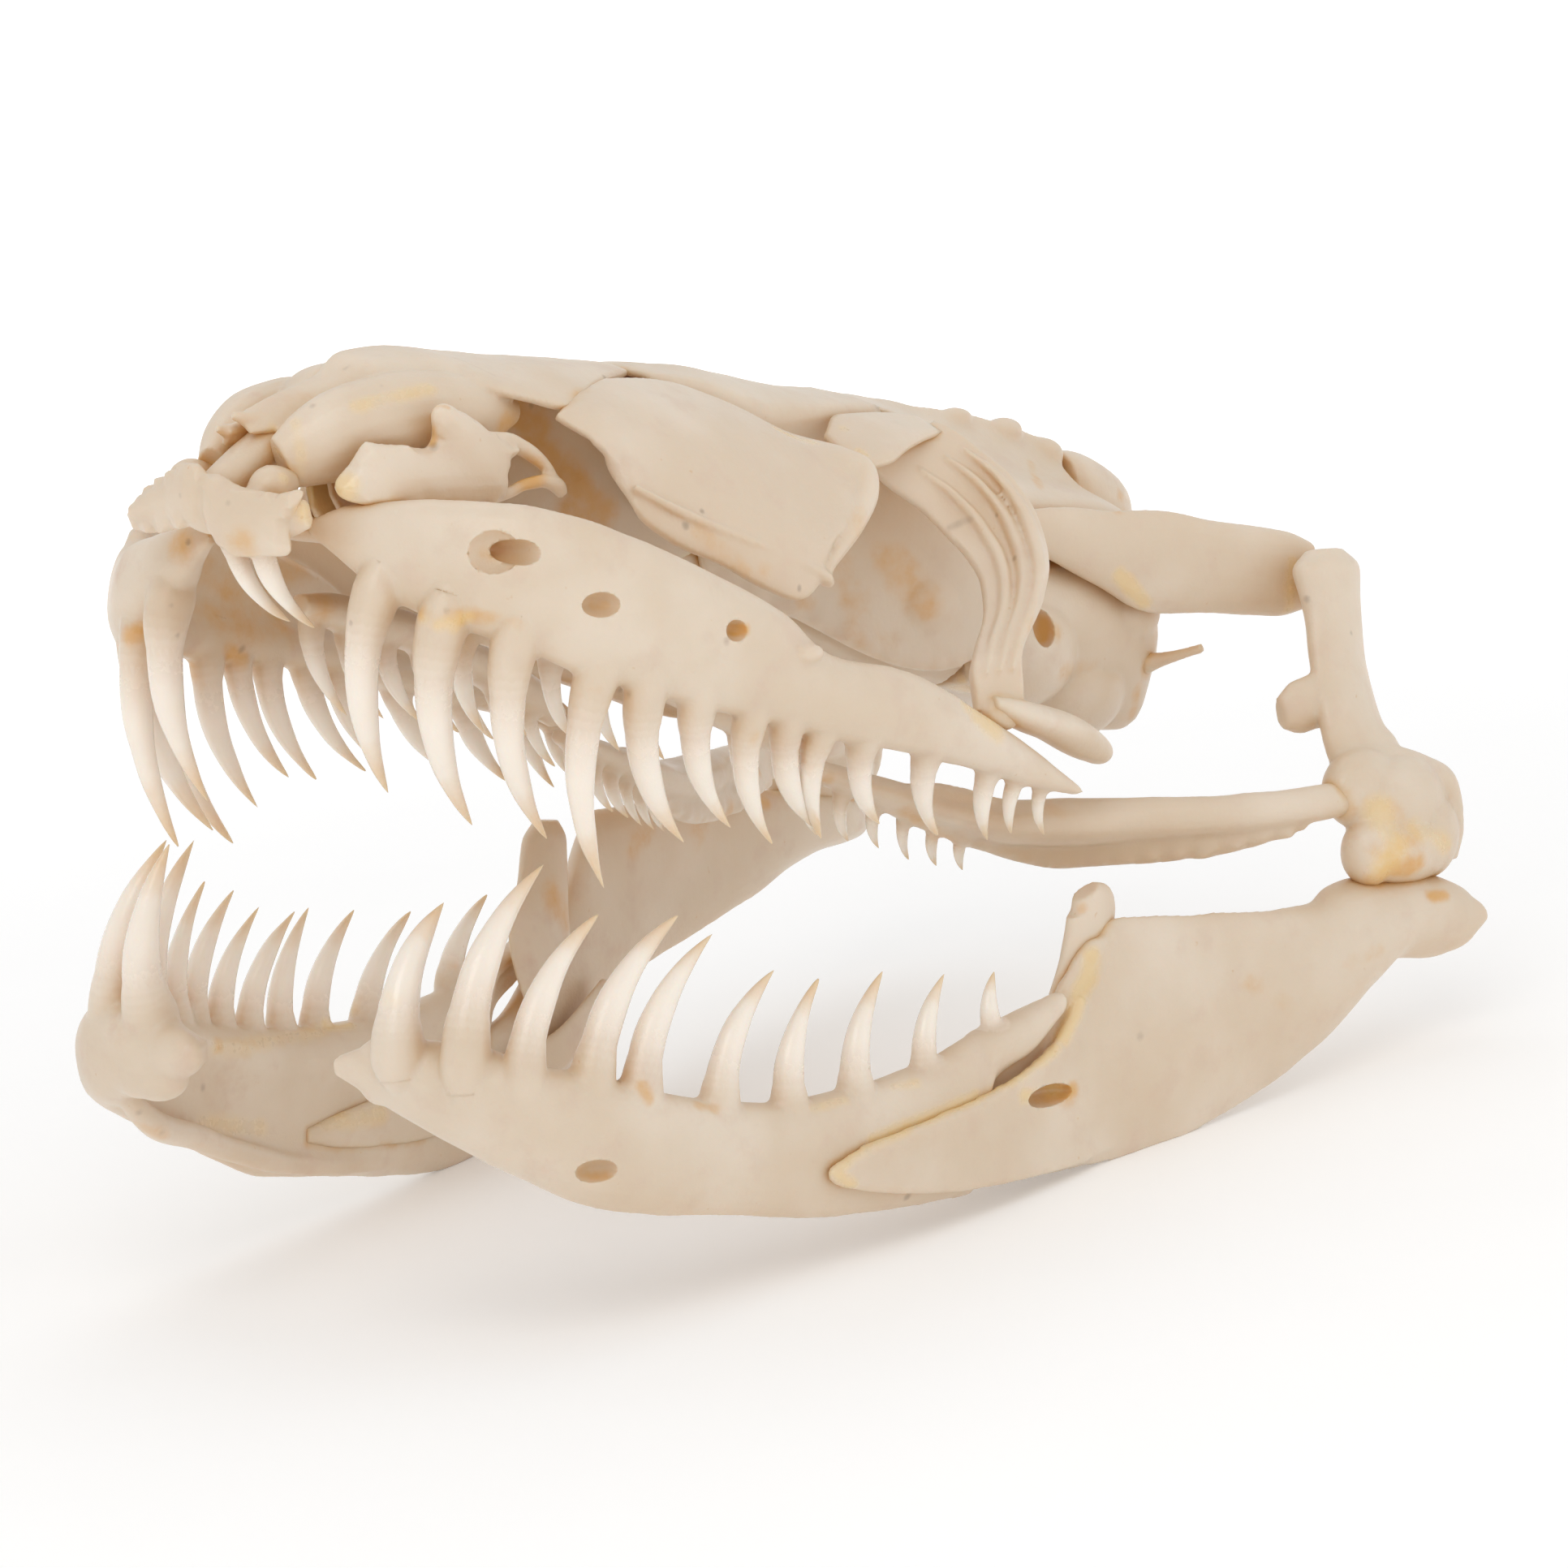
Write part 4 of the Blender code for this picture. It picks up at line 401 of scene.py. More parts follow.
PREFRONTAL_REAR_EDGE = (
    (-11.6, 17.6, 33.0, 1.2, 1.2), (-11.3, 19.8, 31.8, 2.2, 2.2), (-12.6, 21.0, 29.6, 3.0, 2.8),
    (-15.4, 21.8, 27.2, 3.2, 2.8), (-18.4, 22.6, 25.2, 2.8, 2.4), (-20.6, 23.4, 23.8, 2.2, 2.0),
    (-21.4, 24.0, 22.6, 1.4, 1.4),
)
PREFRONTAL_LEDGE = (
    (-42.4, 20.6, 32.0, 0.8, 0.8), (-40.0, 22.2, 30.4, 1.0, 1.0), (-36.0, 23.6, 28.4, 1.2, 1.1),
    (-31.0, 24.5, 26.5, 1.4, 1.2), (-26.0, 24.7, 24.6, 1.6, 1.4), (-21.9, 24.4, 22.9, 1.8, 1.6),
    (-20.6, 24.2, 22.2, 1.0, 1.0),
)
POSTORBITAL_OUTER = (
    (5.7, 13.6, 34.6), (7.1, 17.0, 32.9), (7.9, 20.4, 30.5), (8.3, 23.0, 27.6), (7.9, 25.0, 24.6),
    (6.9, 26.6, 22.1), (4.5, 28.0, 19.3), (1.2, 29.0, 16.2), (-0.7, 29.8, 13.4), (-0.9, 30.2, 9.4),
)
POSTORBITAL_INNER = (
    (-6.0, 14.4, 32.6), (-3.4, 15.6, 29.6), (0.2, 17.0, 26.9), (1.9, 18.6, 24.6), (2.4, 20.2, 23.1),
    (2.2, 22.0, 21.3), (0.3, 24.4, 18.6), (-3.5, 26.6, 15.2), (-6.0, 28.2, 12.9), (-6.3, 29.0, 9.8),
)
POSTORBITAL_HOLLOW = (1.6, 2.2, 2.2, 2.0, 1.6, 1.2, 0.9, 0.6, 0.4, 0.0)
POSTORBITAL_RIDGES = (0.22, 0.48, 0.74)
ORBIT_WALL = (
    (-14.0, 4.4, 27.5), (-6.0, 6.0, 29.6), (4.0, 7.8, 29.6), (12.0, 9.6, 27.0), (17.0, 11.0, 22.0),
    (17.4, 11.4, 14.0), (12.0, 9.6, 10.6), (4.0, 7.6, 12.2), (-4.0, 5.2, 16.4), (-14.0, 2.6, 20.6),
)
ORBIT_SWELLING = ((12.4, 8.6, 17.4), (6.0, 2.8, 4.4))
OTIC_LOBES = (
    ((22.6, 10.2, 12.0), (7.0, 4.4, 6.0)), ((31.4, 9.2, 6.8), (6.0, 4.8, 4.6)),
    ((36.6, 10.4, 14.6), (4.6, 4.6, 4.2)),
)
FIRST_OPENING_DISH = ((-63.0, 23.4, 28.0), (2.9, 2.6, 2.2))
FIRST_OPENING_HOLE = ((-60.2, 24.4, 27.8), (1.3, 4.0, 1.1))
ROOF_BUMPS = (
    ((24.6, 0.0, 33.3), (2.4, 1.3, 1.2)), ((31.9, 0.0, 31.7), (2.6, 1.6, 1.4)),
    ((37.6, 0.0, 29.0), (2.4, 2.4, 1.8)),
)
COMPOUND_TONGUE = (
    (-31.1, 33.3, -28.8), (-29.4, 33.5, -27.7), (-25.6, 33.8, -26.6), (-19.7, 34.1, -25.7),
    (-12.1, 34.3, -24.5), (-6.0, 34.4, -23.0), (-1.3, 34.3, -20.9), (1.2, 33.9, -18.8), (3.6, 33.6, -17.0),
    (10.0, 33.8, -23.2), (9.0, 33.8, -31.4), (-8.9, 34.1, -32.9), (-20.9, 33.9, -31.9),
    (-28.8, 33.5, -30.4),
)
COMPOUND_INNER_EDGE = (
    (-16.0, 31.6, -24.6), (-10.0, 31.8, -22.4), (-4.0, 32.2, -20.0), (1.0, 32.6, -16.6), (5.0, 33.4, -12.0),
    (9.0, 34.0, -14.0), (4.0, 33.6, -24.0), (-6.0, 32.8, -28.0), (-16.0, 32.2, -28.0),
)
QUADRATE_FOOT = (
    ((44.0, 35.2, -1.6), (5.0, 3.0, 4.0)), ((47.8, 36.8, -3.6), (6.6, 3.2, 5.0)),
    ((47.6, 37.8, -7.6), (6.8, 3.0, 3.4)), ((51.2, 37.8, -6.6), (3.6, 2.8, 4.2)),
    ((42.6, 37.2, -7.4), (3.0, 2.6, 3.4)),
)
QUADRATE_CORNER = (
    (44.0, 34.4, 1.0, 2.8, 2.8), (47.4, 35.2, 0.6, 3.6, 3.6), (51.2, 36.4, -0.8, 4.2, 4.2),
    (53.8, 37.2, -2.0, 3.8, 3.8), (54.6, 37.6, -5.6, 3.6, 3.6), (53.8, 38.0, -9.2, 2.6, 2.6),
)
QUADRATE_SHAFT_END = ((46.6, 34.8, -0.2, 8.8, 4.0), (47.2, 36.4, -3.4, 5.6, 4.0))
JAW_END = (
    (47.0, 38.6, -13.6, 5.0, 5.0), (50.4, 39.0, -14.0, 6.2, 7.0), (52.6, 39.3, -14.9, 6.0, 7.2),
    (54.2, 39.8, -15.8, 4.6, 5.4), (55.0, 40.0, -16.4, 2.4, 2.8),
)
PTERYGOID_BLADE = (
    (-8.0, 17.6, 1.4), (-4.0, 18.2, -1.4), (3.1, 20.0, -4.3), (10.2, 22.0, -6.8), (15.5, 23.6, -7.4),
    (22.8, 27.0, -7.3), (30.8, 31.0, -6.6), (37.0, 34.0, -4.4), (33.0, 32.8, -2.4), (20.0, 27.2, -2.4),
    (8.0, 23.0, -0.6), (-2.0, 20.4, 2.0),
)
FAR_DENTARY_LOBES = (
    ((-66.9, 12.8, -18.6), (2.0, 3.8, 2.4)), ((-66.8, 17.4, -19.8), (2.2, 3.6, 3.6)),
    ((-66.6, 15.4, -20.8), (2.0, 4.0, 2.6)),
)
FAR_DENTARY_LIP = (
    (-66.0, 20.6, -22.4, 0.8, 0.8), (-64.0, 21.4, -24.6, 2.4, 2.2), (-59.0, 22.9, -27.8, 3.0, 2.8),
    (-54.0, 24.4, -29.4, 2.2, 2.6), (-46.0, 26.2, -32.4, 2.0, 2.4), (-38.0, 27.8, -34.8, 1.8, 2.2),
    (-28.0, 29.4, -36.4, 1.6, 2.0), (-18.0, 30.4, -37.4, 0.8, 0.8),
)
DENTARY_TIP = ((-66.0, 12.6, -17.4), (1.6, 2.6, 3.0))
MAXILLA_BOSS = ((-31.7, 31.4, 17.4), (1.9, 1.0, 0.9))
RIGHT_MAXILLA_WALL = (
    (-60.0, 24.6, 24.0), (-58.0, 26.8, 26.6), (-50.0, 29.4, 27.0), (-41.0, 30.4, 26.0), (-33.0, 30.9, 24.8),
    (-26.0, 31.1, 23.6), (-17.0, 31.2, 18.0), (-14.0, 31.2, 13.0), (-24.0, 31.0, 13.0), (-40.0, 30.4, 17.0),
    (-56.0, 27.2, 19.0),
)
POSTORBITAL_GLUE = ((-3.2, 29.6, 9.6), (2.6, 1.5, 1.8))
SPLENIAL_SINK = {LEFT: 1.3, RIGHT: 1.9}

# How the dressed bones differ from their stations: shares of width and height, and shifts in millimetres
PREMAXILLA_BAR_SHARES = (0.7, 0.62)
NOSTRIL_SHARES = (0.7, 0.7)
PTERYGOID_SHARES = (0.8, 0.7)
CORONOID_FOOT_SHARES = (0.3, 0.5)
PTERYGOID_LIFT = 0.6
PREFRONTAL_FOOT_SHIFT = 0.8
SUPRAORBITAL_DROP = 0.5
OPENING_WIDENING = (1.1, 1.2, 1.15)
POSTORBITAL_ROWS = (0.0, 0.15, 0.4, 0.7, 0.9, 1.0)
RIDGE_SHIFT = (-0.8, 0.7, 0.0)
RIDGE_WIDTHS = (0.4, 1.0, 1.3, 1.4, 1.4, 1.2, 1.0, 0.4)

# How finely the bones are made, in millimetres
VOXEL = 0.3
FINE_VOXEL = 0.22
SMOOTHING_ROUNDS = 4
LIGHT_SMOOTHING = 2
SHEET_THICKNESS = 1.3
SHEET_EDGE = 0.45
ROUGHNESS_SIZE = 4.0
ROUGHNESS_HEIGHT = 0.12
# The share of a station's width and height that a rod's oval section has
ROUND_SHARE = 0.96
INWARDS = (0.0, -1.0, 0.0)
# The two axes of the table in which a plate's outline lies
ALONG_AND_UP = (0, 2)
ACROSS_AND_UP = (1, 2)

# Bones that lie in shade, on the far side, inside or underneath, with a warmer painted shade than the rest:
# stronger rosy patches and more tan in their hollows
SHADED_BONE_WARMTH = {
    "nasal_right": 0.5, "vomer_left": 0.5, "vomer_right": 0.5, "palatine_left": 0.3, "palatine_right": 0.4,
    "maxilla_right": 0.6, "braincase_floor": 0.3, "compound_right": 0.4, "dentary_right": 0.3,
    "splenial_right": 0.3, "coronoid_right": 0.5, "angular_right": 0.3,
}
USUAL_SHADE_WARMTH = 0.1
# How far the patterns move from one bone to the next: the surface's, and the material's in metres
ROUGHNESS_STEP = (3.7, 1.3, 2.1)
PATTERN_STEP = (0.031, 0.017, 0.023)


# Placing

def place(points, side):
    """Table points, an array of x, out, z in millimetres, as points in metres on the floor."""
    points = np.asarray(points, float)
    x, y, z = points[..., 0], points[..., 1] * side, points[..., 2]
    lifted_x = x * math.cos(SNOUT_LIFT) + z * math.sin(SNOUT_LIFT)
    lifted_z = z * math.cos(SNOUT_LIFT) - x * math.sin(SNOUT_LIFT)
    level_y = y * math.cos(LEVEL_TURN) - lifted_z * math.sin(LEVEL_TURN)
    level_z = y * math.sin(LEVEL_TURN) + lifted_z * math.cos(LEVEL_TURN)
    return np.stack([lifted_x + STAND[0], level_y + STAND[1], level_z + STAND[2]], axis=-1) * MM


def shifted(rows, back, down):
    """A bar's stations or one row of a sheet, moved back and down by millimetres."""
    return tuple((x + back, out, z - down, *rest) for x, out, z, *rest in rows)


def thinner(stations, wide, tall):
    """A bar's stations with shares of their width and height."""
    return [(*spot, width * wide, height * tall) for *spot, width, height in stations]


# What the camera sees

def camera_axes():
    """Where the camera stands, and its directions to the right, up and back, in table millimetres."""
    back = np.array((
        math.sin(CAMERA_TURN) * math.cos(CAMERA_HEIGHT),
        -math.cos(CAMERA_TURN) * math.cos(CAMERA_HEIGHT),
        math.sin(CAMERA_HEIGHT),
    ))
    right = np.array((math.cos(CAMERA_TURN), math.sin(CAMERA_TURN), 0.0))
    return back * CAMERA_DISTANCE, right, np.cross(back, right), back


def way_through(pixel):
    """The direction from the camera through a pixel of the photograph, in table millimetres."""
    _, right, up, back = camera_axes()
    across, down = (np.array(pixel) - IMAGE_WIDTH / 2) / (PIXELS_PER_MM * CAMERA_DISTANCE)
    return right * across - up * down - back


def seen_on_plane(pixels, plan_line, side):
    """x, out and z, to a tenth of a millimetre, where an upright plane shows at pixels of the photograph."""
    eye = camera_axes()[0]
    start, end = np.array(plan_line) * (1, side)
    normal = np.array((end[1] - start[1], start[0] - end[0]))
    points = []
    for pixel in pixels:
        way = way_through(pixel)
        spot = eye + way * (normal @ (start - eye[:2]) / (normal @ way[:2]))
        points.append(tuple(np.round(spot * (1, side, 1), 1)))
    return points


# Curves

def smooth_rows(rows, steps):
    """A curve through rows of numbers that never swings past them."""
    rows = np.asarray(rows, float)
    slopes = np.diff(rows, axis=0)
    tangents = np.empty_like(rows)
    tangents[0], tangents[-1] = slopes[0], slopes[-1]
    before, after = slopes[:-1], slopes[1:]
    same_way = before * after > 0
    total = np.where(same_way, before + after, 1.0)
    tangents[1:-1] = np.where(same_way, 2 * before * after / total, 0.0)
    curve = []
    for k in range(len(rows) - 1):
        for step in range(steps):
            t = step / steps
            curve.append(
                rows[k] * (2 * t**3 - 3 * t**2 + 1)
                + tangents[k] * (t**3 - 2 * t**2 + t)
                + rows[k + 1] * (3 * t**2 - 2 * t**3)
                + tangents[k + 1] * (t**3 - t**2)
            )
    curve.append(rows[-1])
    return np.array(curve)


def smooth_loop(points, steps):
    """A closed Catmull-Rom curve through points."""
    points = np.asarray(points, float)
    a, b = np.roll(points, 1, axis=0), points
    c, d = np.roll(points, -1, axis=0), np.roll(points, -2, axis=0)
    curve = np.empty((len(points), steps, points.shape[1]))
    for step in range(steps):
        t = step / steps
        curve[:, step] = 0.5 * (
            2 * b + (c - a) * t + (2 * a - 5 * b + 4 * c - d) * t**2 + (3 * b - a - 3 * c + d) * t**3
        )
    return curve.reshape(-1, points.shape[1])


# Meshes

def new_object(name, points, faces):
    """A mesh object in the scene, with its faces turned outwards."""
    data = bpy.data.meshes.new(name)
    data.from_pydata([tuple(point) for point in points], [], faces)
    data.update()
    mesh = bmesh.new()
    mesh.from_mesh(data)
    bmesh.ops.recalc_face_normals(mesh, faces=mesh.faces)
    mesh.to_mesh(data)
    mesh.free()
    obj = bpy.data.objects.new(name, data)
    bpy.context.scene.collection.objects.link(obj)
    return obj


def object_from_rings(name, rings):
    """A closed body through rings of equally many points, with flat caps."""
    rings = np.asarray(rings)
    count = rings.shape[1]
    faces = []
    for row in range(len(rings) - 1):
        for k in range(count):
            after = (k + 1) % count
            low, high = row * count, (row + 1) * count
            faces.append((low + k, low + after, high + after, high + k))
    faces.append(tuple(range(count))[::-1])
    faces.append(tuple(range((len(rings) - 1) * count, len(rings) * count)))
    return new_object(name, rings.reshape(-1, 3), faces)


def slab(name, stations, section, side, steps=5):
    """A jaw bone whose outer face follows stations in plan, with one section scaled along it."""
    stations = smooth_rows(stations, steps)
    section = smooth_loop(section, 3)
    headings = np.gradient(stations[:, :2], axis=0)
    headings /= np.linalg.norm(headings, axis=1)[:, None]
    rings = []
    for (x, out, top, bottom, thickness), heading in zip(stations, headings):
        inward = np.array((heading[1], -heading[0]))
        plan = np.array((x, out)) + inward * section[:, :1] * thickness
        height = bottom + section[:, 1:] * (top - bottom)
        rings.append(place(np.hstack([plan, height]), side))
    return object_from_rings(name, rings)


def bar(name, stations, side, across=(0.0, 0.0, 1.0), sides=20, steps=5):
    """A rod of oval section. Its width lies square to both the rod and the given direction."""
    stations = smooth_rows(stations, steps)
    headings = np.gradient(stations[:, :3], axis=0)
    headings /= np.linalg.norm(headings, axis=1)[:, None]
    angles = 2 * math.pi * (np.arange(sides) + 0.5) / sides
    rings = []
    for station, heading in zip(stations, headings):
        wide_way = np.cross(across, heading)
        wide_way /= np.linalg.norm(wide_way)
        tall_way = np.cross(heading, wide_way)
        ring = (
            station[:3]
            + np.outer(np.cos(angles), wide_way) * station[3] * ROUND_SHARE / 2
            + np.outer(np.sin(angles), tall_way) * station[4] * ROUND_SHARE / 2
        )
        rings.append(place(ring, side))
    return object_from_rings(name, rings)


def grid_surface(rows, steps):
    """A finer grid of points through rows of points."""
    along = np.array([smooth_rows(row, steps) for row in rows])
    count = along.shape[1]
    flat = smooth_rows(along.reshape(len(rows), -1), steps)
    return flat.reshape(-1, count, 3)


def half_thickness(inside, thickness, edge):
    """Half the thickness in metres; inside is 0 at a plate's border and 1 past its rim."""
    inside = np.clip(inside, 0, 1)
    return (edge + (thickness - edge) * np.sqrt(1 - (1 - inside) ** 2))[..., None] * MM / 2


def sheet(name, rows, side, thickness=SHEET_THICKNESS, edge=SHEET_EDGE, steps=6, rim=0.22):
    """A thin curved plate through rows of points, thinner towards its edges."""
    grid = place(grid_surface(rows, steps), side)
    down, along = np.gradient(grid, axis=(0, 1))
    normals = np.cross(along, down)
    normals /= np.maximum(np.linalg.norm(normals, axis=2), 1e-12)[..., None]
    height, width = grid.shape[:2]
    row_share = np.minimum(np.arange(height), np.arange(height)[::-1]) / (height * rim)
    column_share = np.minimum(np.arange(width), np.arange(width)[::-1]) / (width * rim)
    inside = np.minimum(row_share[:, None], column_share[None, :])
    half = half_thickness(inside, thickness, edge)
    points = np.concatenate([(grid + normals * half).reshape(-1, 3), (grid - normals * half).reshape(-1, 3)])
    faces = []
    other = height * width
    for i in range(height - 1):
        for j in range(width - 1):
            a, b = i * width + j, (i + 1) * width + j
            faces.append((a, a + 1, b + 1, b))
            faces.append((a + other, b + other, b + 1 + other, a + 1 + other))
    border = list(range(width))
    border += [i * width + width - 1 for i in range(1, height)]
    border += [(height - 1) * width + j for j in range(width - 2, -1, -1)]
    border += [i * width for i in range(height - 2, 0, -1)]
    for a, b in zip(border, border[1:] + border[:1]):
        faces.append((a, a + other, b + other, b))
    return new_object(name, points, faces)


def fill_outline(flat, spacing):
    """Points and triangles inside a flat outline, and the numbers of the outline's own points in order."""
    low, high = flat.min(axis=0), flat.max(axis=0)
    ticks = [np.arange(start + spacing / 2, end, spacing) for start, end in zip(low, high)]
    inner = np.stack(np.meshgrid(*ticks), axis=-1).reshape(-1, 2)
    gaps = np.linalg.norm(inner[:, None] - flat[None], axis=2).min(axis=1)
    spots = np.vstack([flat, inner[gaps > spacing * 0.45]])
    corners, _, faces, sources, *_ = delaunay_2d_cdt(
        [Vector(spot) for spot in spots], [], [list(range(len(flat)))], 1, 1e-5
    )
    used = sorted({corner for face in faces for corner in face})
    index = {corner: number for number, corner in enumerate(used)}
    faces = [tuple(index[corner] for corner in face) for face in faces]
    border = {source: index[corner] for corner in used for source in sources[corner] if source < len(flat)}
    spots = np.array([corners[corner][:] for corner in used])
    return spots, faces, [border[number] for number in range(len(flat))]


def plate(name, outline, side, thickness, plane=ALONG_AND_UP, bulge=0.0, rim=1.2, edge=0.5, spacing=0.8):
    """A thin plate inside a closed outline, which lies about in one plane of the table's axes."""
    outline = smooth_loop(outline, 3)
    flat = outline[:, plane]
    deep = 3 - sum(plane)
    spots, faces, walls = fill_outline(flat, spacing)
    gaps = np.linalg.norm(spots[:, None] - flat[None], axis=2)
    weights = 1 / (gaps + 1e-3) ** 3
    depth = (weights * outline[:, deep]).sum(axis=1) / weights.sum(axis=1)
    gaps = gaps.min(axis=1)
    depth += bulge * (1 - (1 - gaps / gaps.max()) ** 2)
    points = np.empty((len(spots), 3))
    points[:, plane[0]], points[:, plane[1]], points[:, deep] = spots[:, 0], spots[:, 1], depth
    points = place(points, side)
    normals = np.zeros_like(points)
    for a, b, c in faces:
        normals[[a, b, c]] += np.cross(points[b] - points[a], points[c] - points[a])
    normals /= np.maximum(np.linalg.norm(normals, axis=1), 1e-18)[:, None]
    half = half_thickness(gaps / rim, thickness, edge)
    other = len(points)
    shell = list(faces) + [tuple(corner + other for corner in face[::-1]) for face in faces]
    shell += [(a, a + other, b + other, b) for a, b in zip(walls, walls[1:] + walls[:1])]
    return new_object(name, np.concatenate([points + normals * half, points - normals * half]), shell)


def braincase_part(name, sections, steps=5):
    """A body through half sections that are mirrored about the middle plane."""
    rows = [[x] + [value for pair in half for value in pair] for x, half in sections]
    rings = []
    for row in smooth_rows(rows, steps):
        half = row[1:].reshape(-1, 2)
        mirrored = half[1:-1][::-1] * np.array((-1.0, 1.0))
        outline = smooth_loop(np.vstack([half, mirrored]), 4)
        ring = np.column_stack([np.full(len(outline), row[0]), outline])
        rings.append(place(ring, RIGHT))
    return object_from_rings(name, rings)


# Teeth: share of the length, and the radius there as a share of the base's width
CROWN = (
    (-0.1, 0.44), (0.0, 0.45), (0.12, 0.42), (0.28, 0.385), (0.45, 0.335), (0.62, 0.265), (0.78, 0.18),
    (0.9, 0.1), (0.97, 0.045), (1.0, 0.012),
)
PEDESTAL = (
    (-0.2, 0.1), (-0.15, 0.3), (-0.08, 0.46), (0.0, 0.54), (0.08, 0.51), (0.16, 0.46), (0.26, 0.37),
    (0.34, 0.25),
)
TOOTH_BOW = 0.13
TOOTH_FLATNESS = 0.86
TOOTH_SIDES = 16


def tooth_axis(tooth_row, along, bow=TOOTH_BOW):
    """Points of a tooth's middle line, and the two directions square to it."""
    base, tip = np.array(tooth_row[0:3]), np.array(tooth_row[3:6])
    lean = tip - base
    length = np.linalg.norm(lean)
    forward = np.array((-1.0, 0.0, 0.0))
    forward -= lean * forward.dot(lean) / length**2
    forward /= np.linalg.norm(forward)
    sideways = np.cross(lean / length, forward)
    along = np.asarray(along, float)[:, None]
    shape = 4 * along * (1 - along) * (1 - 0.25 * (along - 0.5))
    return base + lean * along + forward * length * bow * shape, forward, sideways


def tooth(tooth_row, side, profile):
    """One backward-curved tooth, as a smooth cone."""
    profile = smooth_rows(profile, 3)
    middles, forward, sideways = tooth_axis(tooth_row, profile[:, 0])
    headings = np.gradient(middles, axis=0)
    headings /= np.linalg.norm(headings, axis=1)[:, None]
    angles = 2 * math.pi * np.arange(TOOTH_SIDES) / TOOTH_SIDES
    rings = []
    for middle, heading, radius in zip(middles, headings, profile[:, 1]):
        front = np.cross(sideways, heading)
        ring = middle + tooth_row[6] * radius * (
            np.outer(np.cos(angles), front) + np.outer(np.sin(angles), sideways) * TOOTH_FLATNESS
        )
        rings.append(place(ring, side))
    return object_from_rings("tooth", rings)


def oval(middle, half_sizes, side, name="oval", along=(1.0, 0.0, 0.0)):
    """A smooth egg, used as a cutter or a bump."""
    mesh = bmesh.new()
    bmesh.ops.create_icosphere(mesh, subdivisions=4, radius=1.0)
    directions = np.array([vertex.co[:] for vertex in mesh.verts])
    faces = [tuple(vertex.index for vertex in face.verts) for face in mesh.faces]
    mesh.free()
    long_way = np.array(along) / np.linalg.norm(along)
    out_way = np.cross((0.0, 0.0, 1.0), long_way)
    out_way /= np.linalg.norm(out_way)
    up_way = np.cross(long_way, out_way)
    axes = np.array([long_way, out_way, up_way]) * np.array(half_sizes)[:, None]
    return new_object(name, place(np.array(middle) + directions @ axes, side), faces)


# Changing meshes

def apply_modifiers(obj):
    """Replaces an object's mesh with its evaluated one, and removes its modifiers."""
    graph = bpy.context.evaluated_depsgraph_get()
    baked = bpy.data.meshes.new_from_object(obj.evaluated_get(graph))
    old = obj.data
    obj.modifiers.clear()
    obj.data = baked
    bpy.data.meshes.remove(old)
    return obj


def gather(name, pieces):
    """One object that holds the meshes of several, which are removed."""
    mesh = bmesh.new()
    for piece in pieces:
        mesh.from_mesh(piece.data)
        bpy.data.objects.remove(piece)
    data = bpy.data.meshes.new(name)
    mesh.to_mesh(data)
    mesh.free()
    obj = bpy.data.objects.new(name, data)
    bpy.context.scene.collection.objects.link(obj)
    return obj


def combine(obj, other, operation, solver):
    """Adds another body to an object or takes it away, and removes it."""
    change = obj.modifiers.new("Combine", "BOOLEAN")
    change.operation = operation
    change.solver = solver
    change.object = other
    apply_modifiers(obj)
    bpy.data.objects.remove(other)
    return obj


def cut(obj, cutters):
    """Cuts ovals or bars out of an object."""
    for cutter in cutters:
        combine(obj, cutter, "DIFFERENCE", "EXACT")
    return obj


def fuse(name, pieces, voxel=VOXEL, rounds=SMOOTHING_ROUNDS):
    """Overlapping bodies as one smooth body with soft joins."""
    obj = gather(name, pieces)
    remesh = obj.modifiers.new("Fuse", "REMESH")
    remesh.mode = "VOXEL"
    remesh.voxel_size = voxel * MM
    soften = obj.modifiers.new("Soften", "SMOOTH")
    soften.factor = 0.5
    soften.iterations = rounds
    return apply_modifiers(obj)


def add_crowns(obj, teeth, side):
    """Joins the sharp crowns of the teeth to a bone."""
    crowns = gather("crowns", [tooth(row, side, CROWN) for row in teeth])
    return combine(obj, crowns, "UNION", "MANIFOLD")


def keep_inside(obj, box):
    """Presses the points that reach out of a box back onto its sides."""
    data = obj.data
    points = np.clip(mesh_points(obj), box[0], box[1])
    data.vertices.foreach_set("co", points.ravel())
    data.update()


def roughen(obj, size, height, seed):
    """Moves the points in and out a little, as grown bone is never quite even."""
    data = obj.data
    points = mesh_points(obj)
    normals = np.empty(points.size)
    data.vertices.foreach_get("normal", normals)
    shift = Vector([seed * step for step in ROUGHNESS_STEP])
    amounts = np.array([noise.noise(Vector(point) / (size * MM) + shift) for point in points])
    points = points + normals.reshape(-1, 3) * amounts[:, None] * height * MM
    data.vertices.foreach_set("co", points.ravel())
    data.update()


# Bones

def make_premaxilla():
    near_wing = seen_on_plane(NEAR_WING, NEAR_WING_PLANE, LEFT)
    far_wing = np.maximum(seen_on_plane(FAR_WING, FAR_WING_PLANE, RIGHT), FAR_WING_LEAST)
    pieces = [
        bar("bar", thinner(PREMAXILLA_BAR, *PREMAXILLA_BAR_SHARES), RIGHT),
        bar("pillar", PREMAXILLA_PILLAR, LEFT),
        plate("near_wing", near_wing, LEFT, thickness=2.0, plane=ACROSS_AND_UP, bulge=-1.0, rim=1.2),
        plate("far_wing", far_wing, RIGHT, thickness=1.7, plane=ACROSS_AND_UP, bulge=-0.8, rim=1.2),
    ]
    ball = thinner(NOSTRIL_BALL, *NOSTRIL_SHARES)
    pieces += [bar("nostril", ball, side) for side in (LEFT, RIGHT)]
    pieces += [tooth(row, LEFT, PEDESTAL) for row in PREMAXILLARY_TEETH]
    return add_crowns(fuse("premaxilla", pieces, FINE_VOXEL), PREMAXILLARY_TEETH, LEFT)


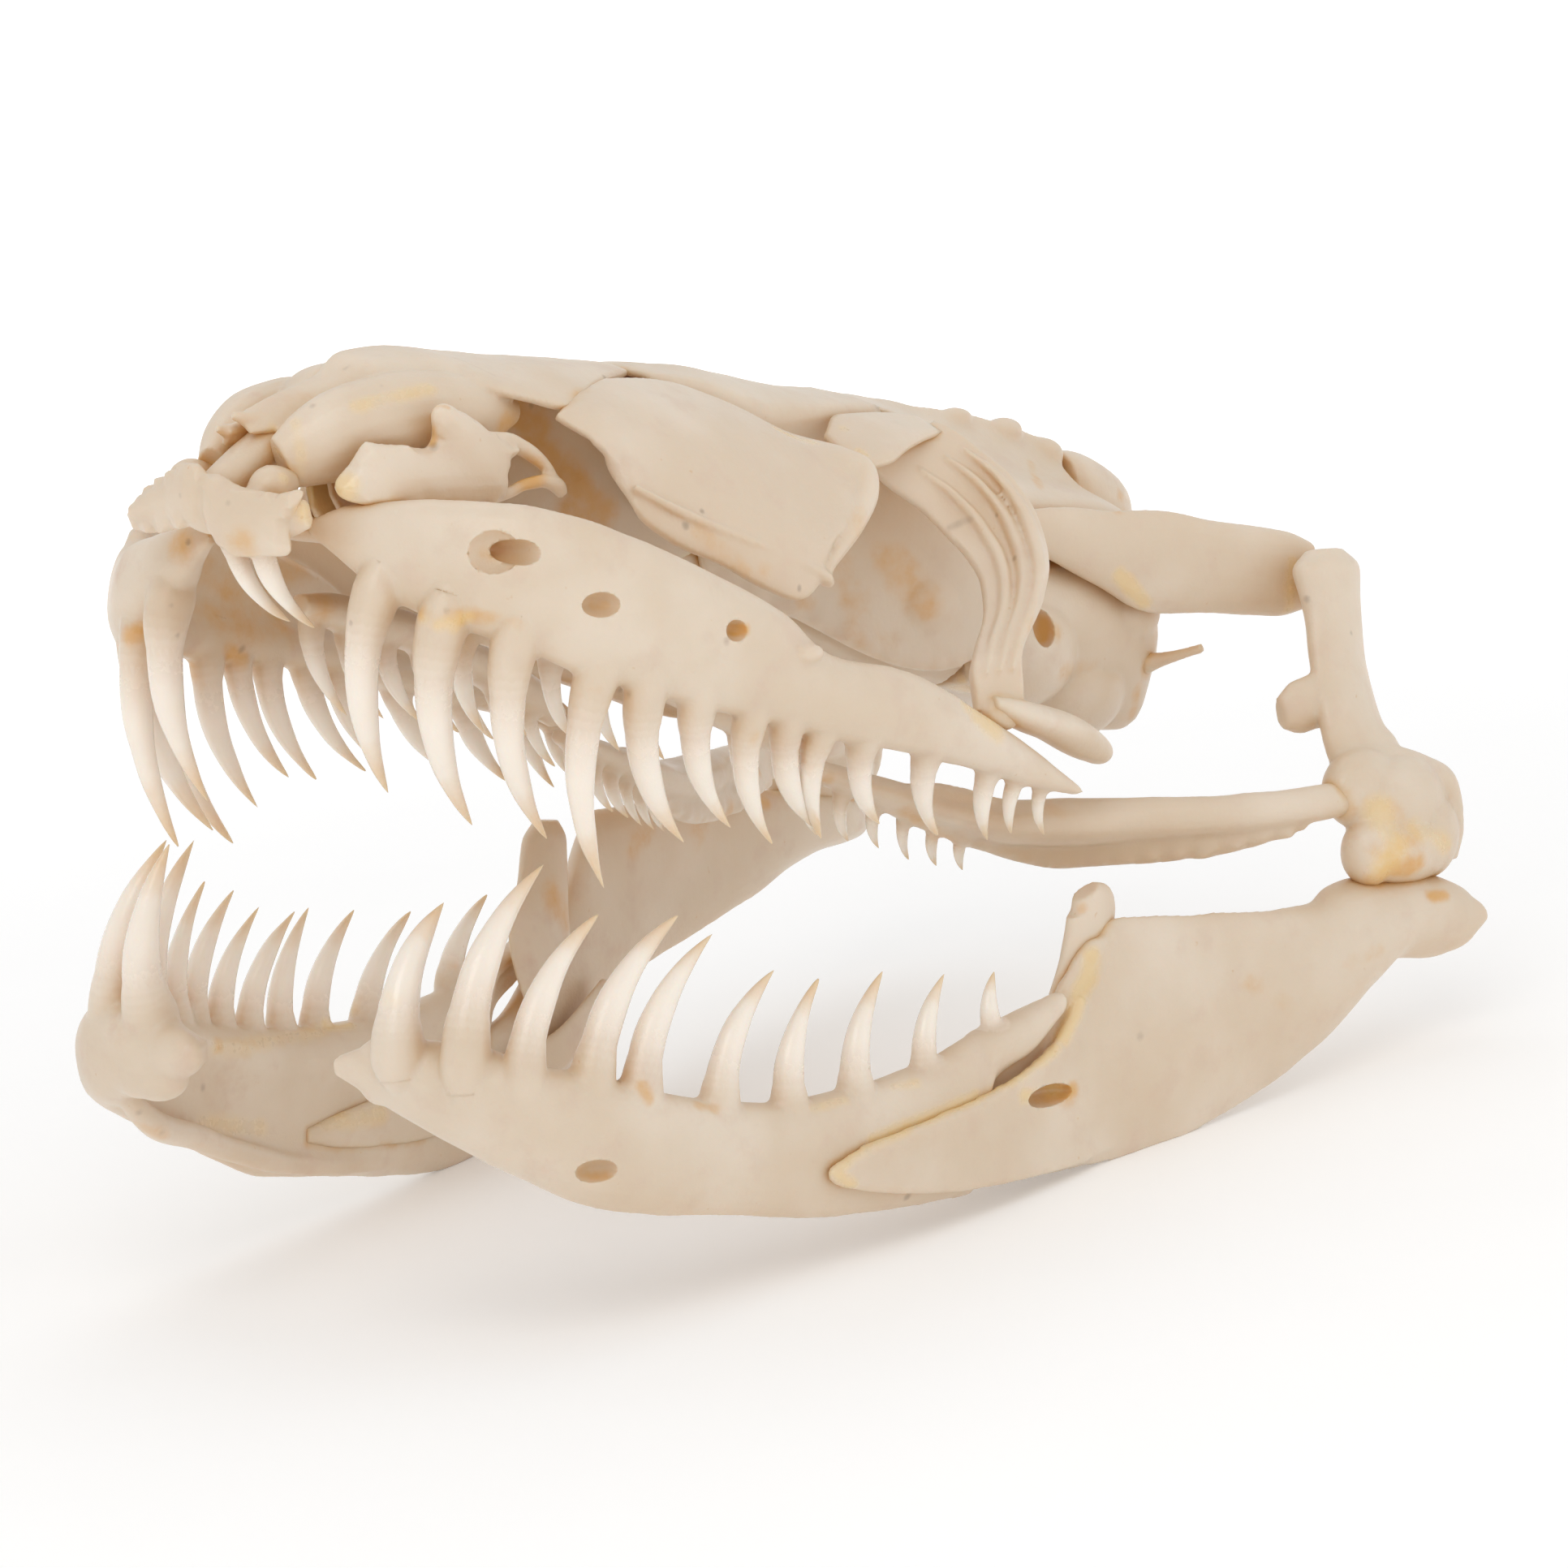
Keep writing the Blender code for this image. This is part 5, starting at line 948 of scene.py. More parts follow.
def make_nasal(side):
    drop = RIGHT_NASAL_DROP if side == RIGHT else 0.0
    roof = [shifted(row, 0.0, drop) for row in NASAL_ROOF]
    wall = shifted(NASAL_WALL, 0.0, drop)
    return fuse("nasal", [
        sheet("roof", roof, side, edge=0.6),
        bar("capsule", shifted(CAPSULE_SWELLING, 0.0, drop), side),
        bar("spur", shifted(NASAL_SPUR, 0.0, drop), side),
        plate("wall", wall, side, thickness=0.9, edge=0.7),
    ], FINE_VOXEL)


def make_septomaxilla(side):
    back = RIGHT_SEPTOMAXILLA_BACK if side == RIGHT else 0.0
    wall = []
    for *pixel, out in SEPTOMAXILLA_WALL:
        wall += seen_on_plane([pixel], ((0.0, out), (1.0, out)), LEFT)
    return fuse("septomaxilla", [
        plate("wall", shifted(wall, back, 0.0), side, thickness=1.5, bulge=1.4, rim=0.8),
        bar("upper_prong", shifted(UPPER_PRONG, back, 0.0), side),
        bar("lower_prong", shifted(LOWER_PRONG, back, 0.0), side),
    ], FINE_VOXEL, LIGHT_SMOOTHING)


def make_prefrontal(side):
    *upper, ledge, foot = PREFRONTAL
    foot = [(x, out - PREFRONTAL_FOOT_SHIFT, z) for x, out, z in foot]
    return fuse("prefrontal", [
        sheet("plate", [*upper, ledge, foot], side, edge=0.7),
        bar("rear_edge", PREFRONTAL_REAR_EDGE, side),
        bar("ledge", PREFRONTAL_LEDGE, side),
    ], FINE_VOXEL)


def make_postorbital(side):
    outer, inner = np.array(POSTORBITAL_OUTER), np.array(POSTORBITAL_INNER)
    hollow = np.outer(POSTORBITAL_HOLLOW, (1.0, 0.0, 0.2))

    def row(share):
        return outer + (inner - outer) * share + hollow * 4 * share * (1 - share)

    band = [row(share) for share in POSTORBITAL_ROWS]
    pieces = [sheet("band", band, side, thickness=1.4, edge=0.7), oval(*POSTORBITAL_GLUE, side)]
    for share in POSTORBITAL_RIDGES:
        ridge = row(share)[1:9] + RIDGE_SHIFT
        sizes = np.column_stack([RIDGE_WIDTHS, RIDGE_WIDTHS])
        pieces.append(bar("ridge", np.hstack([ridge, sizes]), side))
    return fuse("postorbital", pieces, FINE_VOXEL)


def make_maxilla(side):
    stations, teeth = MAXILLA, MAXILLARY_TEETH
    if side == RIGHT:
        stations, teeth = RIGHT_MAXILLA, RIGHT_MAXILLARY_TEETH
    bone = slab("maxilla", stations, MAXILLA_SECTION, side)
    if side == LEFT:
        extra = oval(*MAXILLA_BOSS, side)
    else:
        extra = plate("wall", RIGHT_MAXILLA_WALL, side, thickness=2.4)
    bone = fuse("maxilla", [bone, extra] + [tooth(row, side, PEDESTAL) for row in teeth])
    if side == LEFT:
        holes = [oval(*FIRST_OPENING_DISH, side), oval(*FIRST_OPENING_HOLE, side)]
        cut(bone, holes + [widened(opening, side) for opening in MAXILLA_OPENINGS])
    return add_crowns(bone, teeth, side)


def make_palatine(side):
    pieces = [bar("palatine", PALATINE, side)] + [tooth(row, side, PEDESTAL) for row in PALATINE_TEETH]
    return add_crowns(fuse("palatine", pieces), PALATINE_TEETH, side)


def make_pterygoid(side):
    slim = thinner(shifted(PTERYGOID, 0.0, -PTERYGOID_LIFT), *PTERYGOID_SHARES)
    pieces = [bar("pterygoid", slim, side), plate("blade", PTERYGOID_BLADE, side, thickness=2.4, rim=2.5)]
    pieces += [tooth(row, side, PEDESTAL) for row in PTERYGOID_TEETH]
    return add_crowns(fuse("pterygoid", pieces), PTERYGOID_TEETH, side)


def make_quadrate(side):
    return fuse("quadrate", [
        bar("shaft", QUADRATE[:5] + QUADRATE_SHAFT_END, side, across=INWARDS),
        bar("knob", QUADRATE_KNOB, side),
        bar("corner", QUADRATE_CORNER, side),
        *(oval(*lobe, side) for lobe in QUADRATE_FOOT),
    ])


def widened(opening, side):
    """The tool that cuts an opening with its rim as wide as in the photograph."""
    spot, half_sizes = opening
    return oval(spot, [half * more for half, more in zip(half_sizes, OPENING_WIDENING)], side)


def make_dentary(side):
    stations, teeth = DENTARY, DENTARY_TEETH
    if side == RIGHT:
        stations, teeth = RIGHT_DENTARY, RIGHT_DENTARY_TEETH
    bone = slab("dentary", stations, DENTARY_SECTION, side)
    if side == LEFT:
        pieces = [bone, oval(*DENTARY_TIP, side)]
    else:
        pieces = [bone, bar("lip", FAR_DENTARY_LIP, side)]
        pieces += [oval(*lobe, side) for lobe in FAR_DENTARY_LOBES]
    bone = fuse("dentary", pieces + [tooth(row, side, PEDESTAL) for row in teeth])
    if side == LEFT:
        cut(bone, [widened(DENTARY_OPENING, side)])
    return add_crowns(bone, teeth, side)


def make_compound(side):
    if side == RIGHT:
        return fuse("compound", [slab("compound", RIGHT_COMPOUND, COMPOUND_SECTION, side)])
    bone = fuse("compound", [
        slab("compound", COMPOUND, COMPOUND_SECTION, side),
        plate("tongue", COMPOUND_TONGUE, side, thickness=1.4, rim=0.5),
        plate("inner_edge", COMPOUND_INNER_EDGE, side, thickness=1.2),
        bar("end", JAW_END, side),
    ])
    return cut(bone, [widened(COMPOUND_OPENING, side)])


def hollow(bone):
    """Cuts the brain's hollow out of a bone of the braincase."""
    return cut(bone, [bar("cavity", BRAIN_CAVITY, RIGHT)])


def make_parietal():
    bumps = [oval(*bump, RIGHT) for bump in ROOF_BUMPS]
    bone = hollow(fuse("parietal", [braincase_part("parietal", PARIETAL), *bumps]))
    walls = []
    for side in (LEFT, RIGHT):
        walls += [plate("wall", ORBIT_WALL, side, thickness=1.4, bulge=0.5), oval(*ORBIT_SWELLING, side)]
    return fuse("parietal", [bone, *walls])


def make_otic_block():
    bone = fuse("otic_block", [
        braincase_part("otic", OTIC_BLOCK),
        bar("knob", OCCIPUT_KNOB, RIGHT),
        bar("condyle", CONDYLE, RIGHT),
        *(oval(*lobe, side) for lobe in OTIC_LOBES for side in (LEFT, RIGHT)),
    ])
    return hollow(cut(bone, [oval(*EAR_OPENING, side) for side in (LEFT, RIGHT)]))


def rod(name, stations, side, voxel=FINE_VOXEL, rounds=SMOOTHING_ROUNDS):
    """A bone that is one rod."""
    return fuse(name, [bar(name, stations, side)], voxel, rounds)


def make_upper_pair(side):
    """The bones of the upper skull that come in left and right pairs."""
    supraorbital = [shifted(row, 0.0, SUPRAORBITAL_DROP) for row in SUPRAORBITAL]
    return {
        "maxilla": make_maxilla(side),
        "prefrontal": make_prefrontal(side),
        "nasal": make_nasal(side),
        "septomaxilla": make_septomaxilla(side),
        "vomer": rod("vomer", VOMER, side),
        "frontal": sheet("frontal", FRONTAL, side),
        "supraorbital": sheet("supraorbital", supraorbital, side),
        "postorbital": make_postorbital(side),
        "ectopterygoid": rod("ectopterygoid", ECTOPTERYGOID, side),
        "palatine": make_palatine(side),
        "pterygoid": make_pterygoid(side),
        "supratemporal": rod("supratemporal", SUPRATEMPORAL, side, VOXEL),
        "quadrate": make_quadrate(side),
        "stapes": rod("stapes", STAPES, side, rounds=LIGHT_SMOOTHING),
    }


def make_lower_jaw(side):
    coronoid, splenial, angular = CORONOID_BONE, SPLENIAL, ANGULAR
    if side == RIGHT:
        coronoid, splenial, angular = RIGHT_CORONOID, RIGHT_SPLENIAL, RIGHT_ANGULAR
    sunk = [(x, out + SPLENIAL_SINK[side], *rest) for x, out, *rest in splenial]
    coronoid = [*coronoid[:-1], *thinner(coronoid[-1:], *CORONOID_FOOT_SHARES)]
    return {
        "dentary": make_dentary(side),
        "compound": make_compound(side),
        "coronoid": fuse("coronoid", [bar("coronoid", coronoid, side, across=INWARDS)], FINE_VOXEL),
        "splenial": rod("splenial", sunk, side),
        "angular": rod("angular", angular, side),
    }


def make_bones():
    """Every bone by its name in the frame."""
    bones = {
        "premaxilla": make_premaxilla(),
        "parietal": make_parietal(),
        "otic_block": make_otic_block(),
        "braincase_floor": hollow(rod("floor", BRAINCASE_FLOOR, RIGHT, VOXEL)),
    }
    for word, side in SIDES.items():
        for name, bone in {**make_upper_pair(side), **make_lower_jaw(side)}.items():
            bones[f"{name}_{word}"] = bone
    return bones


# Colour marks on the surface, as attributes of the points

# Marks of glue, of amber, which is partly staining and partly painted shade on shaded inner walls and in
# hollows, and of
# grime: half the width in millimetres, the strength, and the points of the line as the photograph shows
# them, in its pixels
GLUE_MARKS = (
    (1.0, 0.6, ((440, 500), (470, 492), (500, 485), (530, 478))),
    (0.8, 0.6, ((335, 530), (345, 560), (350, 590))), (0.8, 0.5, ((362, 520), (372, 560), (368, 600))),
    (2.0, 1.0, ((385, 600), (400, 610), (420, 600))), (1.4, 0.8, ((375, 628), (400, 625))),
    (1.0, 0.7, ((960, 530), (1000, 545), (1040, 528))), (0.7, 0.7, ((1058, 555), (1066, 560))),
    (1.8, 1.0, ((1190, 850), (1205, 880), (1225, 895))), (1.0, 0.7, ((1185, 838), (1190, 870))),
    (1.0, 0.9, ((1378, 708), (1395, 725), (1410, 745), (1435, 770))),
    (0.9, 0.6, ((1592, 690), (1590, 720), (1588, 750), (1596, 768))),
    (2.0, 0.8, ((1700, 1000), (1720, 1040), (1700, 1070))), (1.6, 0.6, ((1740, 1020), (1780, 1040))),
    (1.2, 0.9, ((1345, 1180), (1340, 1205), (1330, 1230), (1322, 1250), (1310, 1275))),
    (
        0.9, 0.8,
        (
            (1300, 1290), (1256, 1325), (1200, 1352), (1130, 1382), (1075, 1405), (1045, 1425),
            (1030, 1443), (1050, 1462),
        ),
    ),
    (1.0, 0.8, ((1262, 1350), (1300, 1340))), (1.4, 0.7, ((435, 1240), (480, 1225), (530, 1210))),
    (0.9, 0.8, ((402, 1262), (430, 1262))), (0.8, 0.7, ((212, 1150), (214, 1175))),
    (1.4, 0.6, ((250, 1385), (320, 1390), (400, 1385), (470, 1372))), (0.8, 0.6, ((575, 760), (540, 770))),
    (0.7, 0.5, ((520, 762), (560, 775))), (1.3, 0.5, ((395, 1270), (300, 1290), (265, 1290))),
    (0.8, 0.5, ((1100, 1340), (1130, 1335))), (0.8, 0.5, ((1000, 1365), (1040, 1355))),
)
# Amber marks: partly staining, partly painted shade on shaded inner walls and in hollows
AMBER_STAIN_AND_SHADE_MARKS = (
    (2.4, 0.9, ((620, 530), (660, 550), (700, 585), (735, 625))),
    (2.4, 0.9, ((650, 590), (700, 630), (740, 632))), (2.2, 0.8, ((640, 515), (665, 530))),
    (1.0, 0.9, ((1286, 768), (1284, 785))), (1.6, 0.5, ((1270, 770), (1300, 775))),
    (0.8, 1.0, ((905, 778), (915, 776))), (0.7, 0.5, ((730, 745), (745, 745))),
    (1.2, 0.35, ((600, 680), (640, 690))), (0.9, 0.5, ((715, 1445), (745, 1448))),
    (1.0, 1.0, ((1310, 1348), (1318, 1342))), (1.6, 0.6, ((1270, 1355), (1310, 1345))),
    (1.6, 0.7, ((1690, 1085), (1715, 1072), (1745, 1066), (1808, 1070))),
    (1.8, 0.5, ((1700, 1050), (1740, 1030), (1720, 1000))), (0.9, 0.8, ((1765, 1104), (1780, 1102))),
    (3.2, 0.55, ((250, 700), (300, 730), (360, 700))), (3.0, 0.5, ((260, 760), (340, 770), (400, 740))),
    (2.0, 0.6, ((220, 670), (300, 670))), (2.6, 0.5, ((1060, 650), (1095, 690), (1140, 740))),
    (3.0, 0.4, ((1040, 700), (1060, 760), (1080, 800))), (2.2, 0.5, ((630, 1240), (610, 1210))),
    (2.4, 0.5, ((680, 1100), (700, 1130))), (2.0, 0.4, ((800, 1020), (780, 1040))),
    (2.4, 0.45, ((900, 1000), (860, 1030))), (1.0, 0.6, ((270, 1288),)), (0.8, 0.6, ((1332, 1120),)),
    (1.2, 0.5, ((940, 700), (990, 740), (1000, 745))), (1.4, 0.35, ((860, 655), (920, 700))),
    (0.5, 0.7, ((533, 545), (531, 515), (540, 500), (552, 502))), (1.2, 0.6, ((160, 785), (170, 780))),
    (1.0, 0.6, ((235, 820), (240, 835))), (1.2, 0.6, ((280, 800), (300, 815))),
    (1.0, 0.5, ((930, 910), (935, 950), (942, 990))), (0.8, 0.4, ((1015, 930), (1012, 970))),
    (1.0, 0.5, ((640, 770), (600, 760), (520, 755))), (1.0, 0.4, ((730, 850), (770, 855), (700, 840))),
    (0.8, 0.5, ((790, 1340), (800, 1355))), (0.8, 0.5, ((860, 1362), (880, 1365))),
    (1.0, 0.5, ((1395, 880), (1400, 850))), (1.4, 0.45, ((1310, 830), (1345, 822))),
    (1.0, 0.5, ((1380, 610), (1375, 630))), (0.8, 0.5, ((1270, 570), (1280, 600))),
    (1.4, 0.45, ((1180, 1060), (1120, 1000))), (2.0, 0.35, ((1240, 970), (1300, 1000))),
    (1.0, 0.4, ((1020, 960), (1000, 950))), (1.2, 0.35, ((1650, 1190), (1700, 1170))),
    (1.4, 0.3, ((1540, 1210), (1600, 1240))), (1.2, 0.5, ((170, 1385), (200, 1400), (230, 1420))),
    (1.0, 0.4, ((560, 1190), (580, 1180))),
)
GRIME_MARKS = (
    (0.3, 0.9, ((865, 630),)), (0.45, 0.9, ((845, 648),)), (0.4, 0.9, ((985, 725),)),
    (0.4, 0.8, ((745, 465),)), (0.3, 0.7, ((1228, 635),)), (0.35, 0.8, ((1250, 688),)),
    (0.5, 0.7, ((1610, 738),)), (0.35, 0.8, ((1665, 780),)), (0.3, 0.9, ((432, 768),)),
    (0.4, 0.6, ((211, 746),)), (0.35, 0.8, ((219, 783),)), (0.5, 0.7, ((298, 800),)),
    (0.35, 0.8, ((232, 668),)), (0.6, 0.7, ((172, 1371),)), (0.5, 0.5, ((250, 1340),)),
    (0.6, 0.5, ((200, 1396),)), (0.5, 0.8, ((1118, 1475),)), (0.45, 0.7, ((655, 500),)),
    (0.35, 0.6, ((290, 525),)), (0.4, 0.5, ((281, 620),)), (0.35, 0.5, ((222, 611),)),
    (0.4, 0.5, ((550, 752),)), (0.5, 0.6, ((520, 552), (535, 550))), (0.5, 0.5, ((895, 790),)),
    (0.5, 0.5, ((1170, 650), (1195, 640))), (0.4, 0.5, ((470, 475),)), (0.4, 0.5, ((385, 500),)),
    (0.5, 0.6, ((765, 850), (775, 855))), (0.5, 0.5, ((880, 880), (905, 885))), (0.6, 0.5, ((1405, 1277),)),
    (0.25, 0.35, ((424, 455), (464, 438), (515, 438), (563, 442), (610, 463))),
    (0.25, 0.3, ((190, 1310), (235, 1330))),
)
MARKS = (GLUE_MARKS, AMBER_STAIN_AND_SHADE_MARKS, GRIME_MARKS)

# How near another bone has to be for the seam to turn amber, in millimetres
SEAM = 0.9
SEAM_STRENGTH = 0.5

# How far from a tooth's middle line the enamel reaches at its base and how much less at its tip, as shares
# of the tooth's width, with a margin in metres; and where along the tooth it starts and how long it fades in
ENAMEL_REACH = 0.6
ENAMEL_TAPER = 0.45
ENAMEL_MARGIN = 0.0003
ENAMEL_START = 0.1
ENAMEL_FADE = 0.3


def distance_to_line(points, line):
    """How far each point lies from a line through two or more points, or from one point."""
    if len(line) == 1:
        return np.linalg.norm(points - line[0], axis=1)
    nearest = np.full(len(points), np.inf)
    for start, end in zip(line, line[1:]):
        way = end - start
        share = np.clip((points - start) @ way / way.dot(way), 0.0, 1.0)
        gap = np.linalg.norm(points - start - share[:, None] * way, axis=1)
        nearest = np.minimum(nearest, gap)
    return nearest


def mesh_points(obj):
    """The points of an object's mesh, as an array."""
    points = np.empty(len(obj.data.vertices) * 3)
    obj.data.vertices.foreach_get("co", points)
    return points.reshape(-1, 3)


def write_colours(obj, name, values):
    """Stores three numbers for each point, for the material to read."""
    layer = obj.data.color_attributes.new(name, "FLOAT_COLOR", "POINT")
    layer.data.foreach_set("color", np.column_stack([values, np.ones(len(values))]).ravel())


def paint_stains_and_shade(bones):
    """Lays the marks of glue, of amber staining and painted shade, and of grime on the bones where the
    camera sees them, and warms the seams between bones.
    """
    values = {name: np.zeros((len(bone.data.vertices), 3)) for name, bone in bones.items()}
    points = {name: mesh_points(bone) for name, bone in bones.items()}
    trees = {name: tree_of(bone) for name, bone in bones.items()}
    for column, marks in enumerate(MARKS):
        for radius, strength, pixels in marks:
            for name, line in lines_seen(trees, pixels).items():
                gap = distance_to_line(points[name], np.array(line)) / (radius * MM)
                channel = values[name][:, column]
                np.maximum(channel, strength * np.clip(1.3 - gap, 0.0, 1.0), out=channel)
    for first in bones:
        for second in bones:
            if first != second:
                warm_seam(values[first], points[first], points[second], trees[second])
    for name, bone in bones.items():
        # Red holds glue, green amber staining with painted shade and the seams' amber, blue grime
        write_colours(bone, "stain_and_shade", values[name])


def lines_seen(trees, pixels):
    """The spots that the camera sees at pixels of the photograph, by the bone that they lie on."""
    found = {}
    for pixel in pixels:
        name, spot = seen_at(trees, pixel)
        if name:
            found.setdefault(name, []).append(spot)
    return found


def tree_of(bone):
    """A search tree of a bone's surface."""
    return BVHTree.FromPolygons(
        [vertex.co for vertex in bone.data.vertices], [face.vertices for face in bone.data.polygons]
    )


def seen_at(trees, pixel):
    """The bone that the camera sees at a pixel of the photograph, and the spot on it."""
    eye = camera_axes()[0]
    start = Vector(place(eye, RIGHT))
    way = Vector(place(eye + way_through(pixel), RIGHT)) - start
    hits = []
    for name, tree in trees.items():
        spot, _, _, distance = tree.ray_cast(start, way.normalized())
        if spot is not None:
            hits.append((distance, name, tuple(spot)))
    return min(hits)[1:] if hits else (None, None)


def warm_seam(values, points, others, tree):
    """Amber where another bone comes close."""
    reach = SEAM * MM
    near = np.all((points > others.min(axis=0) - reach) & (points < others.max(axis=0) + reach), axis=1)
    for index in np.flatnonzero(near):
        spot, _, _, distance = tree.find_nearest(points[index], reach)
        if spot is not None:
            values[index, 1] = max(values[index, 1], SEAM_STRENGTH * (1 - distance / reach))


def teeth_of(name, side):
    """The rows of teeth that a bone carries."""
    near_side = side == LEFT
    rows = {
        "premaxilla": PREMAXILLARY_TEETH,
        "palatine": PALATINE_TEETH,
        "pterygoid": PTERYGOID_TEETH,
        "maxilla": MAXILLARY_TEETH if near_side else RIGHT_MAXILLARY_TEETH,
        "dentary": DENTARY_TEETH if near_side else RIGHT_DENTARY_TEETH,
    }
    return rows.get(name.split("_")[0], ())


def paint_enamel(bones):
    """Marks the teeth: red is how much the enamel shows, green how far along the tooth a point lies."""
    along = np.linspace(0.0, 1.0, 25)
    for name, bone in bones.items():
        side = RIGHT if name.endswith("_right") else LEFT
        points = mesh_points(bone)
        values = np.zeros((len(points), 3))
        for row in teeth_of(name, side):
            axis = place(tooth_axis(row, along)[0], side)
            near = np.linalg.norm(points - axis[12], axis=1) < np.linalg.norm(axis[-1] - axis[0]) * 0.75
            gaps = np.linalg.norm(points[near][:, None] - axis[None], axis=2)
            share = along[gaps.argmin(axis=1)]
            reach = (ENAMEL_REACH - ENAMEL_TAPER * share) * row[6] * MM + ENAMEL_MARGIN
            whiteness = np.clip((share - ENAMEL_START) / ENAMEL_FADE, 0.0, 1.0)
            fresh = np.where(gaps.min(axis=1) < reach, whiteness, 0.0)
            block = values[near]
            better = fresh > block[:, 0]
            block[better, :2] = np.column_stack([fresh[better], share[better]])
            values[near] = block
        write_colours(bone, "enamel", values)


# Materials

class Tree:
    """A short way to build a material's nodes."""

    def __init__(self, name):
        self.material = bpy.data.materials.new(name)
        self.material.use_nodes = True
        self.nodes = self.material.node_tree.nodes
        self.nodes.clear()

    def link(self, value, socket):
        if isinstance(value, bpy.types.NodeSocket):
            self.material.node_tree.links.new(value, socket)
        else:
            socket.default_value = value

    def node(self, kind, inputs=None, **settings):
        made = self.nodes.new(kind)
        for key, value in settings.items():
            setattr(made, key, value)
        for key, value in (inputs or {}).items():
            self.link(value, made.inputs[key])
        return made

    def noise(self, place, scale, detail=3.0, roughness=0.5):
        made = self.node("ShaderNodeTexNoise", {"Vector": place, "Scale": scale, "Detail": detail})
        made.inputs["Roughness"].default_value = roughness
        return made.outputs["Fac"]

    def math(self, operation, first, second, clamp=False):
        made = self.node("ShaderNodeMath", operation=operation, use_clamp=clamp)
        self.link(first, made.inputs[0])
        self.link(second, made.inputs[1])
        return made.outputs[0]

    def times(self, first, second):
        return self.math("MULTIPLY", first, second)

    def plus(self, first, second):
        return self.math("ADD", first, second)

    def painted(self, name):
        """The three channels of a colour that is stored at the points."""
        layer = self.node("ShaderNodeAttribute", attribute_name=name)
        return self.node("ShaderNodeSeparateColor", {"Color": layer.outputs["Color"]}).outputs

    def span(self, value, low, high, to_low=0.0, to_high=1.0):
        """A smooth step of a value from one span to another."""
        made = self.node("ShaderNodeMapRange", {"Value": value}, interpolation_type="SMOOTHSTEP")
        made.inputs["From Min"].default_value = low
        made.inputs["From Max"].default_value = high
        made.inputs["To Min"].default_value = to_low
        made.inputs["To Max"].default_value = to_high
        return made.outputs["Result"]

    def mix(self, share, first, second, blend="MIX"):
        made = self.node("ShaderNodeMix", data_type="RGBA", blend_type=blend)
        self.link(share, made.inputs[0])
        self.link(first, made.inputs[6])
        self.link(second, made.inputs[7])
        return made.outputs[2]


CREAM = (0.69, 0.56, 0.42, 1.0)
PALE = (0.75, 0.64, 0.515, 1.0)
ROSE = (0.66, 0.5, 0.385, 1.0)
TAN_SHADE_AND_SPECKLE = (0.62, 0.4, 0.2, 1.0)
DEEP_AMBER_STAIN_AND_SHADE = (0.68, 0.35, 0.07, 1.0)
GLUE_YELLOW = (0.84, 0.6, 0.24, 1.0)
GRIME_BROWN = (0.13, 0.07, 0.04, 1.0)
ENAMEL_WHITE = (0.94, 0.86, 0.77, 1.0)
ENAMEL_TAN = (0.72, 0.45, 0.2, 1.0)

# Scales of the material's patterns, in repeats a metre
BROAD_SCALE = 70.0
PATCHY_SCALE = 240.0
SPECKLE_SCALE = 900.0
FINE_SCALE = 1400.0
GRAIN_SCALE = 3800.0

# How far the painted shade looks for hollows, by ambient occlusion, and the height below which the floor
# would count, in metres
HOLLOW_REACH = 0.016
HOLLOW_SAMPLES = 2
CLEAR_OF_FLOOR = 0.022
BUMP_STRENGTH = 0.35
BUMP_DEPTH = 0.0002

# The floor's half width, where its glow starts and ends to rise, in metres, and the least and most glow
FLOOR_REACH = 6.0
GLOW_SPAN = (0.12, 0.7)
GLOW_STRENGTHS = (0.12, 0.62)


def bare_colour(tree, spot, place_on_skull, patchy, shade_warmth):
    """Pale bone with rosy patches, and painted shade in the hollows: tan, and amber in the most enclosed
    ones, found by ambient occlusion away from the floor.
    """
    broad = tree.noise(spot, BROAD_SCALE, 3.0)
    # Painted shade: ambient occlusion darkens the hollows to tan and the most enclosed ones to amber, more
    # on the warmer, shaded bones
    openness = tree.node("ShaderNodeAmbientOcclusion", {"Distance": HOLLOW_REACH}, samples=HOLLOW_SAMPLES)
    heights = tree.node("ShaderNodeSeparateXYZ", {"Vector": place_on_skull})
    above = tree.span(heights.outputs["Z"], 0.0, CLEAR_OF_FLOOR)
    hollow_shade = tree.times(tree.span(openness.outputs["AO"], 0.85, 0.25), above)
    deepest_hollow_shade = tree.times(tree.span(openness.outputs["AO"], 0.55, 0.12), above)
    colour = tree.mix(tree.span(broad, 0.35, 0.7), CREAM, PALE)
    # Random rosy patches, made stronger on the shaded bones as painted shade
    colour = tree.mix(tree.times(tree.span(patchy, 0.5, 0.75), 0.35 + shade_warmth), colour, ROSE)
    colour = tree.mix(tree.times(hollow_shade, 0.72 + 0.5 * shade_warmth), colour, TAN_SHADE_AND_SPECKLE)
    return tree.mix(tree.times(deepest_hollow_shade, 0.65), colour, DEEP_AMBER_STAIN_AND_SHADE)


def marked_colour(tree, colour, stains_and_shade, ragged):
    """Amber staining with painted shade, glue and grime over a colour, with ragged edges."""
    # The green channel is partly painted shade
    marks = (("Green", DEEP_AMBER_STAIN_AND_SHADE, 0.8), ("Red", GLUE_YELLOW, 0.5), ("Blue", GRIME_BROWN, 0.4))
    for channel, tint, most in marks:
        amount = tree.plus(stains_and_shade[channel], tree.times(ragged, 1.3))
        amount = tree.times(tree.span(amount, 0.1, 1.0), tree.span(stains_and_shade[channel], 0.0, 0.3))
        colour = tree.mix(tree.times(amount, most), colour, tint)
    return colour


def enamel_colour(tree, colour, enamel, ragged):
    """White enamel on the teeth, tan towards their tips."""
    uneven = tree.plus(enamel["Green"], tree.times(ragged, 0.25))
    crown = tree.mix(tree.times(tree.span(uneven, 0.6, 1.0), 0.75), ENAMEL_WHITE, ENAMEL_TAN)
    return tree.mix(tree.times(enamel["Red"], 0.85), colour, crown)


